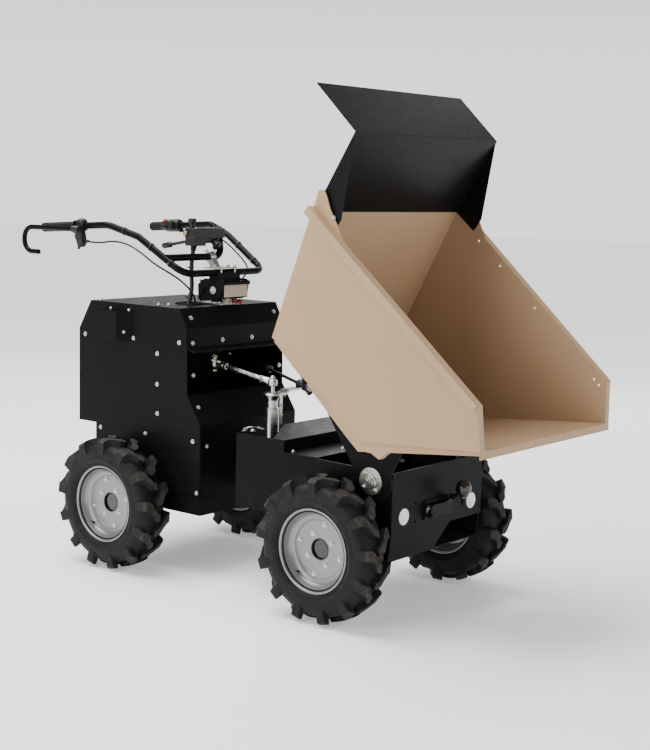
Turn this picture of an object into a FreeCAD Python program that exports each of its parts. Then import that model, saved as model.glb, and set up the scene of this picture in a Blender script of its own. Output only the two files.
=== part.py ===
import FreeCAD, Part

import math
import os

from FreeCAD import Vector

# Site dumper: four-wheeled, articulated in the middle, with a skip that tips
# forward over the front axle and a walk-behind handlebar at the rear.
# While it is modelled, X = 0 is the front axle, +X points to the skip's lip,
# +Y to the left, +Z up, and the floor is Z = 0.  All sizes are millimetres.
# At the end everything is moved along X so that the origin is under the
# middle of the whole machine.

# ---------------------------------------------------------------- sizes ----

# wheels
WHEELBASE = 842.0
TYRE_RADIUS = 206.0
TYRE_WIDTH = 112.0
WHEEL_Y = 308.0
BEAD_RADIUS = 108.0
RIM_FLANGE_RADIUS = 118.5
RIM_WIDTH = 93.0
RIM_WALL = 3.5
DISC_RECESS = 36.0
HUB_RADIUS = 26.5
HUB_LENGTH = 84.0
SPINDLE_RADIUS = 12.5
SPINDLE_CLEARANCE = 0.08
LOCATING_GAP = 0.3

# sheet metal
BODY_WIDTH = 444.0
FRAME_WIDTH = 446.0
SHEET = 3.0
FRAME_SHEET = 4.0

# rear body
REAR_X = -1098.0
REAR_LOW_Z = 427.0
REAR_SHOULDER_Z = 727.0
DECK_Z = 820.0
DECK_REAR_X = -1043.0
DECK_FRONT_X = -644.0
VISOR_TOP_X = -611.0
VISOR_TOP_Z = 760.0
VISOR_LOW_Z = 700.0
RECESS_LOW_X = -608.0
RECESS_LOW_Z = 558.0
TOE_X = -551.0
TOE_Z = 473.0
BODY_FLOOR_Z = 254.0
BODY_REAR_STEP_X = -1018.0
BELLY_Z = 192.0
BELLY_REAR_X = -960.0
PAN_LIP = 8.0
RECESS_DEPTH = 182.0
CHARGE_X = (-987.0, -885.0, -854.0)
CHARGE_Z = (705.0, 795.0)
CHARGE_DEPTH = 38.0

# front frame
FRAME_REAR_X = -404.0
FRAME_FRONT_X = 171.0
FRAME_DECK_Z = 470.0
FRAME_STEP_X = -219.0
FRAME_STEP_Z = 436.0
FRAME_WELL_X = -100.0
FRAME_NOSE_Z = 428.0
FRAME_LOW_Z = 250.0
DECK_SINK = 0.5
KEEL_Z = 178.0
KEEL_REAR_X = -66.0
SKIRT_SETBACK = 10.0

# articulation
PIVOT_X = -480.0
PIN_RADIUS = 15.0
PIN_CLEARANCE = 0.08
BARREL_RADIUS = 38.0
BARREL_Z = (266.0, 406.0)
LUG_THICKNESS = 12.0
LUG_RADIUS = 46.0
LUG_GAP = 0.4
TUBE_RADIUS = 40.0
TUBE_Z = 336.0

# steering post and linkage
POST_X = -430.0
POST_Y = -34.0
SLEEVE_RADIUS = 20.0
SLEEVE_TOP_Z = 520.0
POST_RADIUS = 17.0
POST_PLATE_Z = 560.0
POST_PLATE = 6.0
ROD_END_RISE = 33.0
POST_ARM_END_Y = 84.0
KNUCKLE_Y = 106.0
DAMPER_REAR_X = -740.0
DAMPER_REAR_Y = 98.0
DAMPER_REAR_Z = 666.0
DAMPER_FRONT_Z = 579.0
DAMPER_TILT = 30.1
DAMPER_BODY_RADIUS = 11.0
DAMPER_ROD_RADIUS = 5.0
COLUMN_X = -700.0
COLUMN_RADIUS = 10.0
PITMAN_BALL_X = -650.0
PITMAN_BALL_Y = -61.0
PITMAN_Z = 629.0
TIE_ROD_RADIUS = 7.0

# handlebar
BAR_RADIUS = 11.0
BAR_WALL = 2.0
GRIP_END = (-1244.0, 244.0, 1045.0)
UPPER_BEND = (-952.0, 232.0, 1062.0)
MIDDLE_BEND = (-845.0, 205.0, 1029.0)
CROSS_BAR_X = -668.0
CROSS_BAR_Z = 922.0
CROSS_BAR_Y = 184.0
GRIP_RADIUS = 15.5
RIGHT_GRIP_LENGTH = 152.0
LEFT_GRIP_LENGTH = 82.0
GUARD_BAR_RADIUS = 8.0
GUARD_BAR_Y = -268.0
GUARD_BAR_END_X = -1315.0
GUARD_BAR_Z = (966.0, 1045.0)
BRACKET_X = (-722.0, -620.0)
BRACKET_Y = 55.0
BRACKET_Z = (845.0, 895.0)
STRUT_X = -735.0
STRUT_Z = 968.0
CONSOLE_X = (-782.0, -735.0)
CONSOLE_Y = (-65.0, 70.0)
CONSOLE_Z = (1026.0, 1058.0)
BAR_BENDS = [80.0, 60.0, 45.0]

# skip, drawn lowered with its floor level, then tipped to SKIP_TIP
SKIP_TIP = 39.8
SKIP_PIVOT = (108.0, 401.0)
SKIP_SHEET = 3.0
SKIP_FLOOR_Z = 495.0
SKIP_REAR_X = -366.0
SKIP_APEX_X = 39.0
SKIP_MIDDLE_X = -14.0
LIP_LOW = (331.0, 775.0)
LIP_TOP = (250.0, 863.0)
RIM_REAR = (-470.0, 886.0)
SKIP_HALF_WIDTH = 301.0
SKIP_SPREAD = 0.0873
SKIP_TAPER = 0.0272
RIM_WIDTH_OUT = 24.0
RIM_DROP = 22.0
LIP_FLANGE = 18.0
RAIL_DEPTH = 26.0
RAIL_WIDTH = 22.0
HANGER_Y = (228.0, 234.0)
HANGER_RADIUS = 66.0
STUB_RADIUS = 15.0
FLANGE_RADIUS = 38.0
FLANGE_THICKNESS = 6.0
GUARD_HALF_WIDTH = 339.5
GUARD_BEND = (-497.0, 1119.0)
GUARD_END = (-680.0, 1131.0)
GUARD_SHEET = 3.0

# tip cylinder
CYLINDER_BASE = (-10.0, 235.0)
CYLINDER_EYE = (-20.0, 440.0)
CYLINDER_RADIUS = 25.0
CYLINDER_LENGTH = 185.0
RAM_RADIUS = 12.5
RAM_LENGTH = 176.0
RAM_CLEARANCE = 0.15
EYE_RADIUS = 15.0
EYE_HALF_WIDTH = 14.0
EYE_PIN_RADIUS = 7.0

HALF_BODY = BODY_WIDTH / 2
HALF_FRAME = FRAME_WIDTH / 2
REAR_AXLE_X = -WHEELBASE

# ------------------------------------------------------- shaped outlines ---

CABLE_SLOT_X = (-786.0, -708.0)
CABLE_SLOT_Y = (-102.0, -32.0)
STEERING_WELL = [(FRAME_REAR_X - 10, -16), (FRAME_REAR_X + 4, -16), (-262.0, -HALF_FRAME + FRAME_SHEET),
                 (FRAME_REAR_X - 10, -HALF_FRAME + FRAME_SHEET)]
SKIRT_OUTLINE = [(-HALF_FRAME, FRAME_LOW_Z), (62.0, FRAME_LOW_Z), (-9.0, KEEL_Z), (-HALF_FRAME, KEEL_Z)]
PLATE_HOLE_Y = -113.0
PLATE_HOLE_Z = (278.0, 331.0)
PLATE_HOLE_RADIUS = 3.75
BOARD_HOLES = [(-345.0, 862.0), (-238.0, 859.0), (-66.0, 851.0), (215.0, 840.0), (238.0, 839.0)]
BOARD_HOLE_RADIUS = 3.5
EAR_OUTLINE = [(RIM_REAR[0] + 4, RIM_REAR[1] - 4), (-482.0, 933.0), (-469.0, 944.0), (-454.0, 940.0),
               (-419.0, 918.0), (-336.0, 884.0), (-336.0, 874.0)]
GUSSET_FRONT_X = -379.0

CABLE_DIAMETER = 6.0
HARNESS_DIAMETER = 14.0
BRAKE_CABLE = [(-1046, -246, 1008), (-985, -243, 1003), (-925, -238, 1014), (-868, -228, 1006),
               (-815, -219, 980), (-768, -210, 948), (-735, -185, 925), (-722, -150, 903),
               (-722, -118, 882), (-726, -88, 862), (-733, -66, 838), (-738, -56, 808), (-740, -50, 785)]
SWITCH_CABLE = [(-1100, 238, 1036), (-1045, 240, 1030), (-985, 238, 1028), (-925, 231, 1023),
                (-868, 222, 1004), (-815, 213, 974), (-768, 205, 944), (-735, 185, 921),
                (-722, 150, 900), (-712, 116, 884), (-704, 84, 874), (-700, 54, 870)]
CONTROL_HARNESS = [(-760, -46, 1004), (-763, -48, 972), (-762, -54, 938), (-757, -58, 905),
                   (-750, -62, 873), (-749, -70, 842), (-752, -78, 812), (-756, -84, 785)]
RAIL_LUG = [(-4.0, -4.0), (32.0, -6.0), (43.0, 3.0), (73.0, 10.0), (78.0, 39.0), (73.0, 61.0), (64.0, 58.0)]

# --------------------------------------------------------------- helpers ---


def polygon_face(points):
    return Part.Face(Part.makePolygon(points + [points[0]]))


def side_prism(outline, y_low, y_high):
    """Solid whose X-Z outline is drawn out along Y."""
    face = polygon_face([Vector(x, y_low, z) for x, z in outline])
    return face.extrude(Vector(0, y_high - y_low, 0))


def plan_prism(outline, z_low, z_high):
    """Solid whose X-Y outline is drawn up along Z."""
    face = polygon_face([Vector(x, y, z_low) for x, y in outline])
    return face.extrude(Vector(0, 0, z_high - z_low))


def front_prism(outline, x_low, x_high):
    """Solid whose Y-Z outline is drawn out along X."""
    face = polygon_face([Vector(x_low, y, z) for y, z in outline])
    return face.extrude(Vector(x_high - x_low, 0, 0))


def block(x_range, y_range, z_range):
    size = [high - low for low, high in (x_range, y_range, z_range)]
    return Part.makeBox(*size, Vector(x_range[0], y_range[0], z_range[0]))


def rod(start, end, radius):
    start, end = Vector(*start), Vector(*end)
    return Part.makeCylinder(radius, (end - start).Length, start, end - start)


def mirror(shape):
    return shape.mirror(Vector(0, 0, 0), Vector(0, 1, 0))


def strip(path, thickness, side):
    """Closed outline of a bent sheet: an open X-Z path and its offset.

    side is +1 for a sheet that lies to the left of the path, -1 for the right.
    """
    offset = []
    for index, (x, z) in enumerate(path):
        normals = []
        for a, b in ((index - 1, index), (index, index + 1)):
            if a >= 0 and b < len(path):
                dx, dz = path[b][0] - path[a][0], path[b][1] - path[a][1]
                length = math.hypot(dx, dz)
                normals.append((-dz / length * side, dx / length * side))
        nx = sum(n[0] for n in normals) / len(normals)
        nz = sum(n[1] for n in normals) / len(normals)
        scale = thickness / (nx * nx + nz * nz)
        offset.append((x + nx * scale, z + nz * scale))
    return list(path) + offset[::-1]


def rounded_path(points, radii):
    """Wire of straight runs joined by tangent arcs, one radius per inner point."""
    points = [Vector(*p) for p in points]
    edges = []
    last = points[0]
    for index, radius in enumerate(radii, start=1):
        corner = points[index]
        into = (corner - points[index - 1]).normalize()
        out = (points[index + 1] - corner).normalize()
        turn = into.getAngle(out)
        cut = radius * math.tan(turn / 2)
        start, end = corner - into * cut, corner + out * cut
        inward = (out - into).normalize()
        middle = corner + inward * (radius / math.cos(turn / 2) - radius)
        edges.append(Part.LineSegment(last, start).toShape())
        edges.append(Part.Arc(start, middle, end).toShape())
        last = end
    edges.append(Part.LineSegment(last, points[-1]).toShape())
    return Part.Wire(edges)


def pipe(points, radii, radius):
    path = rounded_path(points, radii)
    direction = Vector(*points[1]) - Vector(*points[0])
    circle = Part.Wire(Part.makeCircle(radius, Vector(*points[0]), direction))
    return path.makePipeShell([circle], True, False)


def tube(points, radii, radius, wall):
    return pipe(points, radii, radius).cut(pipe(points, radii, radius - wall))


def turned(profile, x, z, y_middle, outward):
    """Ring turned about a wheel's axle from (radius, outward distance) points."""
    outline = [Vector(x, y_middle + outward * y, z + r) for r, y in profile]
    return polygon_face(outline).revolve(
        Vector(x, 0, z), Vector(0, 1, 0), 360)


def with_holes(plate, centres, radius, axis, span):
    for centre in centres:
        start = Vector(*centre) - Vector(*axis) * span
        plate = plate.cut(Part.makeCylinder(
            radius, 2 * span, start, Vector(*axis)))
    return plate


# ---------------------------------------------------------------- wheels ---


def tyre(x, side):
    """Closed tyre whose outline is that of the tops of its lugs."""
    half, shoulder = TYRE_WIDTH / 2, TYRE_RADIUS - 26.0
    seat = RIM_WIDTH / 2 - RIM_WALL - LOCATING_GAP
    outer = [(BEAD_RADIUS, -seat), (RIM_FLANGE_RADIUS + 1, -seat),
             (RIM_FLANGE_RADIUS + 5, -half + 6), (shoulder - 26, -half), (shoulder, -half),
             (TYRE_RADIUS - 6, -half + 8), (TYRE_RADIUS, -half + 22)]
    outline = outer + [(r, -y) for r, y in outer[::-1]]
    return turned(outline, x, TYRE_RADIUS, side * WHEEL_Y, side)


def rim(x, side):
    """Deep-dished steel rim with its disc, hub and bolt holes."""
    half = RIM_WIDTH / 2
    barrel = BEAD_RADIUS - LOCATING_GAP
    disc_y = half - DISC_RECESS
    profile = [(RIM_FLANGE_RADIUS, half), (RIM_FLANGE_RADIUS, half - RIM_WALL),
               (barrel, half - RIM_WALL), (barrel, RIM_WALL - half),
               (RIM_FLANGE_RADIUS, RIM_WALL - half), (RIM_FLANGE_RADIUS, -half),
               (barrel - RIM_WALL, -half), (barrel - RIM_WALL, disc_y - RIM_WALL),
               (HUB_RADIUS, disc_y - RIM_WALL), (HUB_RADIUS, disc_y),
               (barrel - RIM_WALL, disc_y), (barrel - RIM_WALL, half)]
    shape = turned(profile, x, TYRE_RADIUS, side * WHEEL_Y, side)
    middle = side * WHEEL_Y
    inner_end = middle - side * (HUB_LENGTH / 2 + 6)
    outer_end = middle + side * (HUB_LENGTH / 2 - 8)
    hub = rod((x, inner_end, TYRE_RADIUS), (x, outer_end, TYRE_RADIUS), HUB_RADIUS)
    bore_end = middle + side * (HUB_LENGTH / 2 - 20)
    bore = rod((x, inner_end - side, TYRE_RADIUS), (x, bore_end, TYRE_RADIUS),
               SPINDLE_RADIUS + SPINDLE_CLEARANCE)
    return shape.fuse(hub).cut(bore)


def axle_stub(x, side, plate_y):
    """Spindle and its bolted plate; its collar stops just short of the hub."""
    hub_face = side * (WHEEL_Y - HUB_LENGTH / 2 - 6)
    end = side * (WHEEL_Y + HUB_LENGTH / 2 - 22)
    spindle = rod((x, side * plate_y, TYRE_RADIUS), (x, end, TYRE_RADIUS), SPINDLE_RADIUS)
    collar = rod((x, side * plate_y, TYRE_RADIUS),
                 (x, hub_face - side * LOCATING_GAP, TYRE_RADIUS), SPINDLE_RADIUS + 9)
    plate_low, plate_high = sorted((side * plate_y, side * (plate_y + 6)))
    plate = block((x - 38, x + 38), (plate_low, plate_high), (KEEL_Z + 18, TYRE_RADIUS + 36))
    return spindle.fuse(collar).fuse(plate)


# ------------------------------------------------------------- rear body ---


def rear_side_panel(side):
    outline = [(REAR_X + SHEET, REAR_LOW_Z), (REAR_X + SHEET, REAR_SHOULDER_Z),
               (DECK_REAR_X, DECK_Z - SHEET), (DECK_FRONT_X, DECK_Z - SHEET),
               (VISOR_TOP_X - SHEET, VISOR_TOP_Z), (RECESS_LOW_X - SHEET, RECESS_LOW_Z),
               (TOE_X - SHEET, TOE_Z), (TOE_X - SHEET, BODY_FLOOR_Z),
               (BODY_REAR_STEP_X, BODY_FLOOR_Z), (BODY_REAR_STEP_X, REAR_LOW_Z)]
    panel = side_prism(outline, HALF_BODY - SHEET, HALF_BODY)
    panel = panel.cut(rear_top_cover()).cut(rear_front_upper()).cut(rear_front_lower())
    return panel if side > 0 else mirror(panel)


def rear_top_cover():
    """One folded sheet: back, sloping shoulder and deck."""
    path = [(REAR_X, REAR_LOW_Z), (REAR_X, REAR_SHOULDER_Z),
            (DECK_REAR_X, DECK_Z), (DECK_FRONT_X, DECK_Z)]
    cover = side_prism(strip(path, SHEET, -1), -HALF_BODY, HALF_BODY)
    column = rod((COLUMN_X, 0, DECK_Z - 20), (COLUMN_X, 0, DECK_Z + 20),
                 COLUMN_RADIUS + LOCATING_GAP)
    slot = block(CABLE_SLOT_X, CABLE_SLOT_Y, (DECK_Z - 20, DECK_Z + 20))
    return cover.cut(column).cut(slot)


def rear_front_upper():
    """Chamfer, upright panel and the visor lip over the recess."""
    path = [(DECK_FRONT_X, DECK_Z), (VISOR_TOP_X, VISOR_TOP_Z),
            (VISOR_TOP_X, VISOR_LOW_Z), (VISOR_TOP_X + 27, VISOR_LOW_Z - 9)]
    width = HALF_BODY - SHEET
    sheet = side_prism(strip(path, SHEET, -1), -width, width)
    chamfer_cut = block((DECK_FRONT_X - 10, DECK_FRONT_X), (-width, width),
                        (DECK_Z - 10, DECK_Z + 10))
    return sheet.cut(chamfer_cut)


def rear_front_lower():
    path = [(RECESS_LOW_X, RECESS_LOW_Z), (TOE_X, TOE_Z), (TOE_X, BODY_FLOOR_Z)]
    width = HALF_BODY - SHEET
    sheet = side_prism(strip(path, SHEET, -1), -width, width)
    tube_hole = rod((TOE_X - 20, 0, TUBE_Z), (TOE_X + 20, 0, TUBE_Z),
                    TUBE_RADIUS + LOCATING_GAP)
    return sheet.cut(tube_hole)


def rear_recess_tray():
    """Floor and rear wall behind the opening the steering rods come out of."""
    rear = RECESS_LOW_X - RECESS_DEPTH
    path = [(RECESS_LOW_X - SHEET, RECESS_LOW_Z - 1), (rear, RECESS_LOW_Z - 1),
            (rear, DECK_Z - SHEET)]
    width = HALF_BODY - SHEET
    return side_prism(strip(path, SHEET, 1), -width, width)


def rear_step_panel():
    """Folded sheet that closes the body from below, behind the belly pan."""
    path = [(REAR_X + SHEET, REAR_LOW_Z), (BODY_REAR_STEP_X, REAR_LOW_Z),
            (BODY_REAR_STEP_X, BODY_FLOOR_Z), (BELLY_REAR_X, BODY_FLOOR_Z)]
    width = HALF_BODY - SHEET
    return side_prism(strip(path, SHEET, 1), -width, width)


def rear_belly():
    """Shallow pan under the rear body that carries the rear spindles."""
    width = HALF_BODY - SHEET
    outer = block((BELLY_REAR_X, TOE_X - SHEET), (-width, width), (BELLY_Z, BODY_FLOOR_Z + PAN_LIP))
    inner = block((BELLY_REAR_X + FRAME_SHEET, TOE_X - SHEET - FRAME_SHEET),
                  (-width + FRAME_SHEET, width - FRAME_SHEET),
                  (BELLY_Z + FRAME_SHEET, BODY_FLOOR_Z + PAN_LIP + 1))
    return outer.cut(inner)


def battery_pack():
    low_z = BELLY_Z + FRAME_SHEET
    return block((-950, -690), (-180, 180), (low_z, low_z + 250))


def motor_controller():
    rear = REAR_X + SHEET
    return block((rear, rear + 190), (-120, 120), (REAR_LOW_Z + 20, REAR_LOW_Z + 200))


def charge_cover():
    """Weather hood over the charging socket on the right side."""
    face, wall = -HALF_BODY, 2.0
    rear, bend, front = CHARGE_X
    low_z, high_z = CHARGE_Z
    hood = plan_prism([(rear, face), (rear, face - CHARGE_DEPTH),
                       (bend, face - CHARGE_DEPTH), (front, face)], low_z, high_z)
    inside = plan_prism([(rear + wall, face + 1), (rear + wall, face - CHARGE_DEPTH + wall),
                         (bend - 1, face - CHARGE_DEPTH + wall), (front - 4, face + 1)],
                        low_z + wall, high_z - wall)
    return hood.cut(inside)


def articulation_tube():
    """Level tube from the rear body to the upright barrel of the centre pivot."""
    low, high = BARREL_Z
    level = rod((TOE_X - 130, 0, TUBE_Z), (PIVOT_X, 0, TUBE_Z), TUBE_RADIUS)
    barrel = rod((PIVOT_X, 0, low), (PIVOT_X, 0, high), BARREL_RADIUS)
    bore = rod((PIVOT_X, 0, low - 1), (PIVOT_X, 0, high + 1), PIN_RADIUS + PIN_CLEARANCE)
    return level.fuse(barrel).cut(bore)


def tube_carrier():
    """Cross plate inside the body that the articulation tube is welded to."""
    width = HALF_BODY - SHEET
    x = TOE_X - 60
    plate = block((x, x + 6), (-width, width), (BODY_FLOOR_Z + PAN_LIP, TUBE_Z + 70))
    hole = rod((x - 10, 0, TUBE_Z), (x + 20, 0, TUBE_Z), TUBE_RADIUS)
    return plate.cut(hole)


# ----------------------------------------------------------- front frame ---


def front_side_panel(side):
    """Side plate with its keel and the boss that the skip turns in."""
    nose = FRAME_FRONT_X - FRAME_SHEET
    outline = [(FRAME_REAR_X, FRAME_LOW_Z), (FRAME_REAR_X, FRAME_DECK_Z - FRAME_SHEET),
               (FRAME_STEP_X, FRAME_DECK_Z - FRAME_SHEET), (FRAME_STEP_X, FRAME_STEP_Z),
               (nose, FRAME_NOSE_Z), (nose, FRAME_LOW_Z), (nose - SKIRT_SETBACK, KEEL_Z),
               (KEEL_REAR_X, KEEL_Z), (KEEL_REAR_X - 44, FRAME_LOW_Z)]
    inner, outer = HALF_FRAME - FRAME_SHEET, HALF_FRAME
    panel = side_prism(outline, inner, outer)
    x, z = SKIP_PIVOT
    boss = rod((x, inner - 28, z), (x, outer, z), STUB_RADIUS + 11)
    bore = rod((x, inner - 40, z), (x, outer + 10, z), STUB_RADIUS + PIN_CLEARANCE)
    panel = panel.fuse(boss).cut(bore)
    return panel if side > 0 else mirror(panel)


def front_deck():
    """Raised rear deck, its step and the lower deck behind the tip well."""
    path = [(FRAME_REAR_X, FRAME_DECK_Z), (FRAME_STEP_X, FRAME_DECK_Z)]
    upper = side_prism(strip(path, FRAME_SHEET, -1), -HALF_FRAME, HALF_FRAME)
    inner = HALF_FRAME - FRAME_SHEET
    step = block((FRAME_STEP_X - FRAME_SHEET, FRAME_STEP_X), (-inner, inner),
                 (FRAME_STEP_Z - FRAME_SHEET, FRAME_DECK_Z - FRAME_SHEET))
    lower = block((FRAME_STEP_X, FRAME_WELL_X), (-inner, inner),
                  (FRAME_STEP_Z - FRAME_SHEET, FRAME_STEP_Z - DECK_SINK))
    well = plan_prism(STEERING_WELL, FRAME_DECK_Z - 30, FRAME_DECK_Z + 10)
    return upper.fuse(step).fuse(lower).cut(well)


def front_plate():
    """Nose plate and the part-width skirt bent back under it."""
    nose = FRAME_FRONT_X - FRAME_SHEET
    plate = block((nose, FRAME_FRONT_X), (-HALF_FRAME, HALF_FRAME), (FRAME_LOW_Z, FRAME_NOSE_Z))
    skirt = side_prism([(nose, FRAME_LOW_Z), (FRAME_FRONT_X, FRAME_LOW_Z),
                        (FRAME_FRONT_X - SKIRT_SETBACK, KEEL_Z),
                        (nose - SKIRT_SETBACK, KEEL_Z)], -HALF_FRAME, HALF_FRAME)
    skirt = skirt.common(front_prism(SKIRT_OUTLINE, nose - 40, FRAME_FRONT_X + 10))
    holes = [(FRAME_FRONT_X, PLATE_HOLE_Y, z) for z in PLATE_HOLE_Z]
    return with_holes(plate.fuse(skirt), holes, PLATE_HOLE_RADIUS, (1, 0, 0), 20)


def front_floor():
    """Keel floor, its rear riser and the crossmember of the tip cylinder."""
    inner = HALF_FRAME - FRAME_SHEET
    path = [(FRAME_REAR_X, FRAME_LOW_Z), (KEEL_REAR_X - 44, FRAME_LOW_Z),
            (KEEL_REAR_X, KEEL_Z), (FRAME_FRONT_X - FRAME_SHEET - SKIRT_SETBACK, KEEL_Z)]
    floor = side_prism(strip(path, FRAME_SHEET, 1), -inner, inner)
    x, z = CYLINDER_BASE
    ear_top = EYE_RADIUS + 3
    ear = side_prism([(x - 34, KEEL_Z + FRAME_SHEET), (x + 34, KEEL_Z + FRAME_SHEET),
                      (x + 14, z + ear_top), (x - 14, z + ear_top)],
                     EYE_HALF_WIDTH + 2, EYE_HALF_WIDTH + 8)
    ears = ear.fuse(mirror(ear))
    ears = ears.fuse(rod((x, -EYE_HALF_WIDTH - 2, z), (x, EYE_HALF_WIDTH + 2, z), EYE_PIN_RADIUS))
    return floor.fuse(ears)


def articulation_yoke():
    """Rear plate of the front frame with two lugs and the centre pin."""
    inner = HALF_FRAME - FRAME_SHEET
    low, high = BARREL_Z
    plate_back = FRAME_REAR_X
    plate = block((plate_back, plate_back + 8), (-inner, inner),
                  (FRAME_LOW_Z + FRAME_SHEET, FRAME_DECK_Z - FRAME_SHEET))
    plate = plate.cut(plan_prism(STEERING_WELL, high + LUG_THICKNESS + 1, FRAME_DECK_Z))

    def lug(z_low):
        disc = rod((PIVOT_X, 0, z_low), (PIVOT_X, 0, z_low + LUG_THICKNESS), LUG_RADIUS)
        web = plan_prism([(PIVOT_X, -LUG_RADIUS), (plate_back, -84),
                          (plate_back, 84), (PIVOT_X, LUG_RADIUS)],
                         z_low, z_low + LUG_THICKNESS)
        return disc.fuse(web)

    pin = rod((PIVOT_X, 0, low - LUG_GAP - LUG_THICKNESS),
              (PIVOT_X, 0, high + LUG_GAP + LUG_THICKNESS), PIN_RADIUS)
    lugs = lug(high + LUG_GAP).fuse(lug(low - LUG_GAP - LUG_THICKNESS))
    return plate.fuse(lugs).fuse(pin)


def steering_post():
    """Post on the upper lug with the plate that the steering rods act on."""
    base = BARREL_Z[1] + LUG_GAP + LUG_THICKNESS
    foot = rod((POST_X, POST_Y, base), (POST_X, POST_Y, base + 8), SLEEVE_RADIUS + 5)
    sleeve = rod((POST_X, POST_Y, base), (POST_X, POST_Y, SLEEVE_TOP_Z), SLEEVE_RADIUS)
    upper = rod((POST_X, POST_Y, base), (POST_X, POST_Y, POST_PLATE_Z), POST_RADIUS)
    disc = rod((POST_X, POST_Y, POST_PLATE_Z), (POST_X, POST_Y, POST_PLATE_Z + POST_PLATE), 27)
    rise = 8.0
    arm = front_prism([(POST_Y, POST_PLATE_Z), (POST_Y + 46, POST_PLATE_Z),
                       (POST_Y + 66, POST_PLATE_Z + rise), (POST_ARM_END_Y, POST_PLATE_Z + rise),
                       (POST_ARM_END_Y, POST_PLATE_Z + rise + POST_PLATE),
                       (POST_Y + 64, POST_PLATE_Z + rise + POST_PLATE),
                       (POST_Y + 44, POST_PLATE_Z + POST_PLATE), (POST_Y, POST_PLATE_Z + POST_PLATE)],
                      POST_X - 18, POST_X + 18)
    return foot.fuse(sleeve).fuse(upper).fuse(disc).fuse(arm)


def latch_lever():
    """Skip latch on the nose: bracket, cranked arm and ball knob."""
    front = FRAME_FRONT_X
    plate = block((front, front + 5), (-72, 60), (276, 330))
    pivot = rod((front + 5, -52, 292), (front + 22, -52, 292), 9)
    arm = front_prism([(-62, 280), (-40, 280), (34, 302), (56, 318), (48, 330), (26, 322), (-62, 306)],
                      front + 10, front + 18)
    stem = rod((front + 14, 42, 320), (front + 54, 42, 350), 6)
    ball = Part.makeSphere(22, Vector(front + 56, 42, 358))
    return plate.fuse(pivot).fuse(arm).fuse(stem).fuse(ball)


# ------------------------------------------------------------------ skip ---


def half_width(x, z):
    """Outer half width of the skip's leaning side walls, skip lowered."""
    return SKIP_HALF_WIDTH + SKIP_SPREAD * (z - SKIP_FLOOR_Z) - SKIP_TAPER * (x - SKIP_MIDDLE_X)


def wall_slab(outline, inset, thickness):
    """Slab under a stretch of side wall, inset from its outer face."""
    face = polygon_face([Vector(x, half_width(x, z) - inset, z) for x, z in outline])
    return face.extrude(Vector(0, -thickness, 0))


def between_walls():
    """Everything between the inner faces of the two side walls."""
    big = [(-900, 200), (700, 200), (700, 1400), (-900, 1400)]
    left = wall_slab(big, SKIP_SHEET, 1500)
    right = mirror(left)
    return left.common(right)


def skip_tub():
    """Folded sheet: back wall, floor and front slope, with the lip flange."""
    path = [RIM_REAR, (SKIP_REAR_X, SKIP_FLOOR_Z), (SKIP_APEX_X, SKIP_FLOOR_Z), LIP_LOW]
    sheet = side_prism(strip(path, SKIP_SHEET, 1), -500, 500).common(between_walls())
    return sheet.fuse(lip_flange())


def lip_flange():
    """Upturned flange along the lower edge of the front opening."""
    dx, dz = LIP_LOW[0] - SKIP_APEX_X, LIP_LOW[1] - SKIP_FLOOR_Z
    length = math.hypot(dx, dz)
    ux, uz = dx / length, dz / length
    nx, nz = uz, -ux
    x, z = LIP_LOW
    outline = [(x, z), (x - ux * SKIP_SHEET, z - uz * SKIP_SHEET),
               (x - ux * SKIP_SHEET + nx * LIP_FLANGE, z - uz * SKIP_SHEET + nz * LIP_FLANGE),
               (x + nx * LIP_FLANGE, z + nz * LIP_FLANGE)]
    reach = half_width(x, z) + LIP_FLANGE
    return side_prism(outline, -reach, reach)


def skip_side(side):
    """Leaning side wall with its folded rim, lip flange and guard ear."""
    outline = [(SKIP_REAR_X, SKIP_FLOOR_Z), (SKIP_APEX_X, SKIP_FLOOR_Z),
               LIP_LOW, LIP_TOP, RIM_REAR]
    wall = wall_slab(outline, 0, SKIP_SHEET)
    for x, z in BOARD_HOLES:
        y = half_width(x, z)
        wall = wall.cut(rod((x, y - 20, z), (x, y + 20, z), BOARD_HOLE_RADIUS))
    rear_y, front_y = half_width(*RIM_REAR), half_width(*LIP_TOP)
    top = polygon_face([
        Vector(RIM_REAR[0], rear_y - 2, RIM_REAR[1]), Vector(LIP_TOP[0], front_y - 2, LIP_TOP[1]),
        Vector(LIP_TOP[0], front_y + RIM_WIDTH_OUT, LIP_TOP[1]),
        Vector(RIM_REAR[0], rear_y + RIM_WIDTH_OUT, RIM_REAR[1])])
    top = top.extrude(Vector(0, 0, -SKIP_SHEET))
    edge = polygon_face([
        Vector(RIM_REAR[0], rear_y + RIM_WIDTH_OUT, RIM_REAR[1]),
        Vector(LIP_TOP[0], front_y + RIM_WIDTH_OUT, LIP_TOP[1]),
        Vector(LIP_TOP[0], front_y + RIM_WIDTH_OUT, LIP_TOP[1] - RIM_DROP),
        Vector(RIM_REAR[0], rear_y + RIM_WIDTH_OUT, RIM_REAR[1] - RIM_DROP)])
    edge = edge.extrude(Vector(0, -SKIP_SHEET, 0))
    shape = wall.fuse(top).fuse(edge).fuse(lip_side_flange())
    shape = shape.fuse(wall_slab(EAR_OUTLINE, 0, SKIP_SHEET))
    return shape if side > 0 else mirror(shape)


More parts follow.
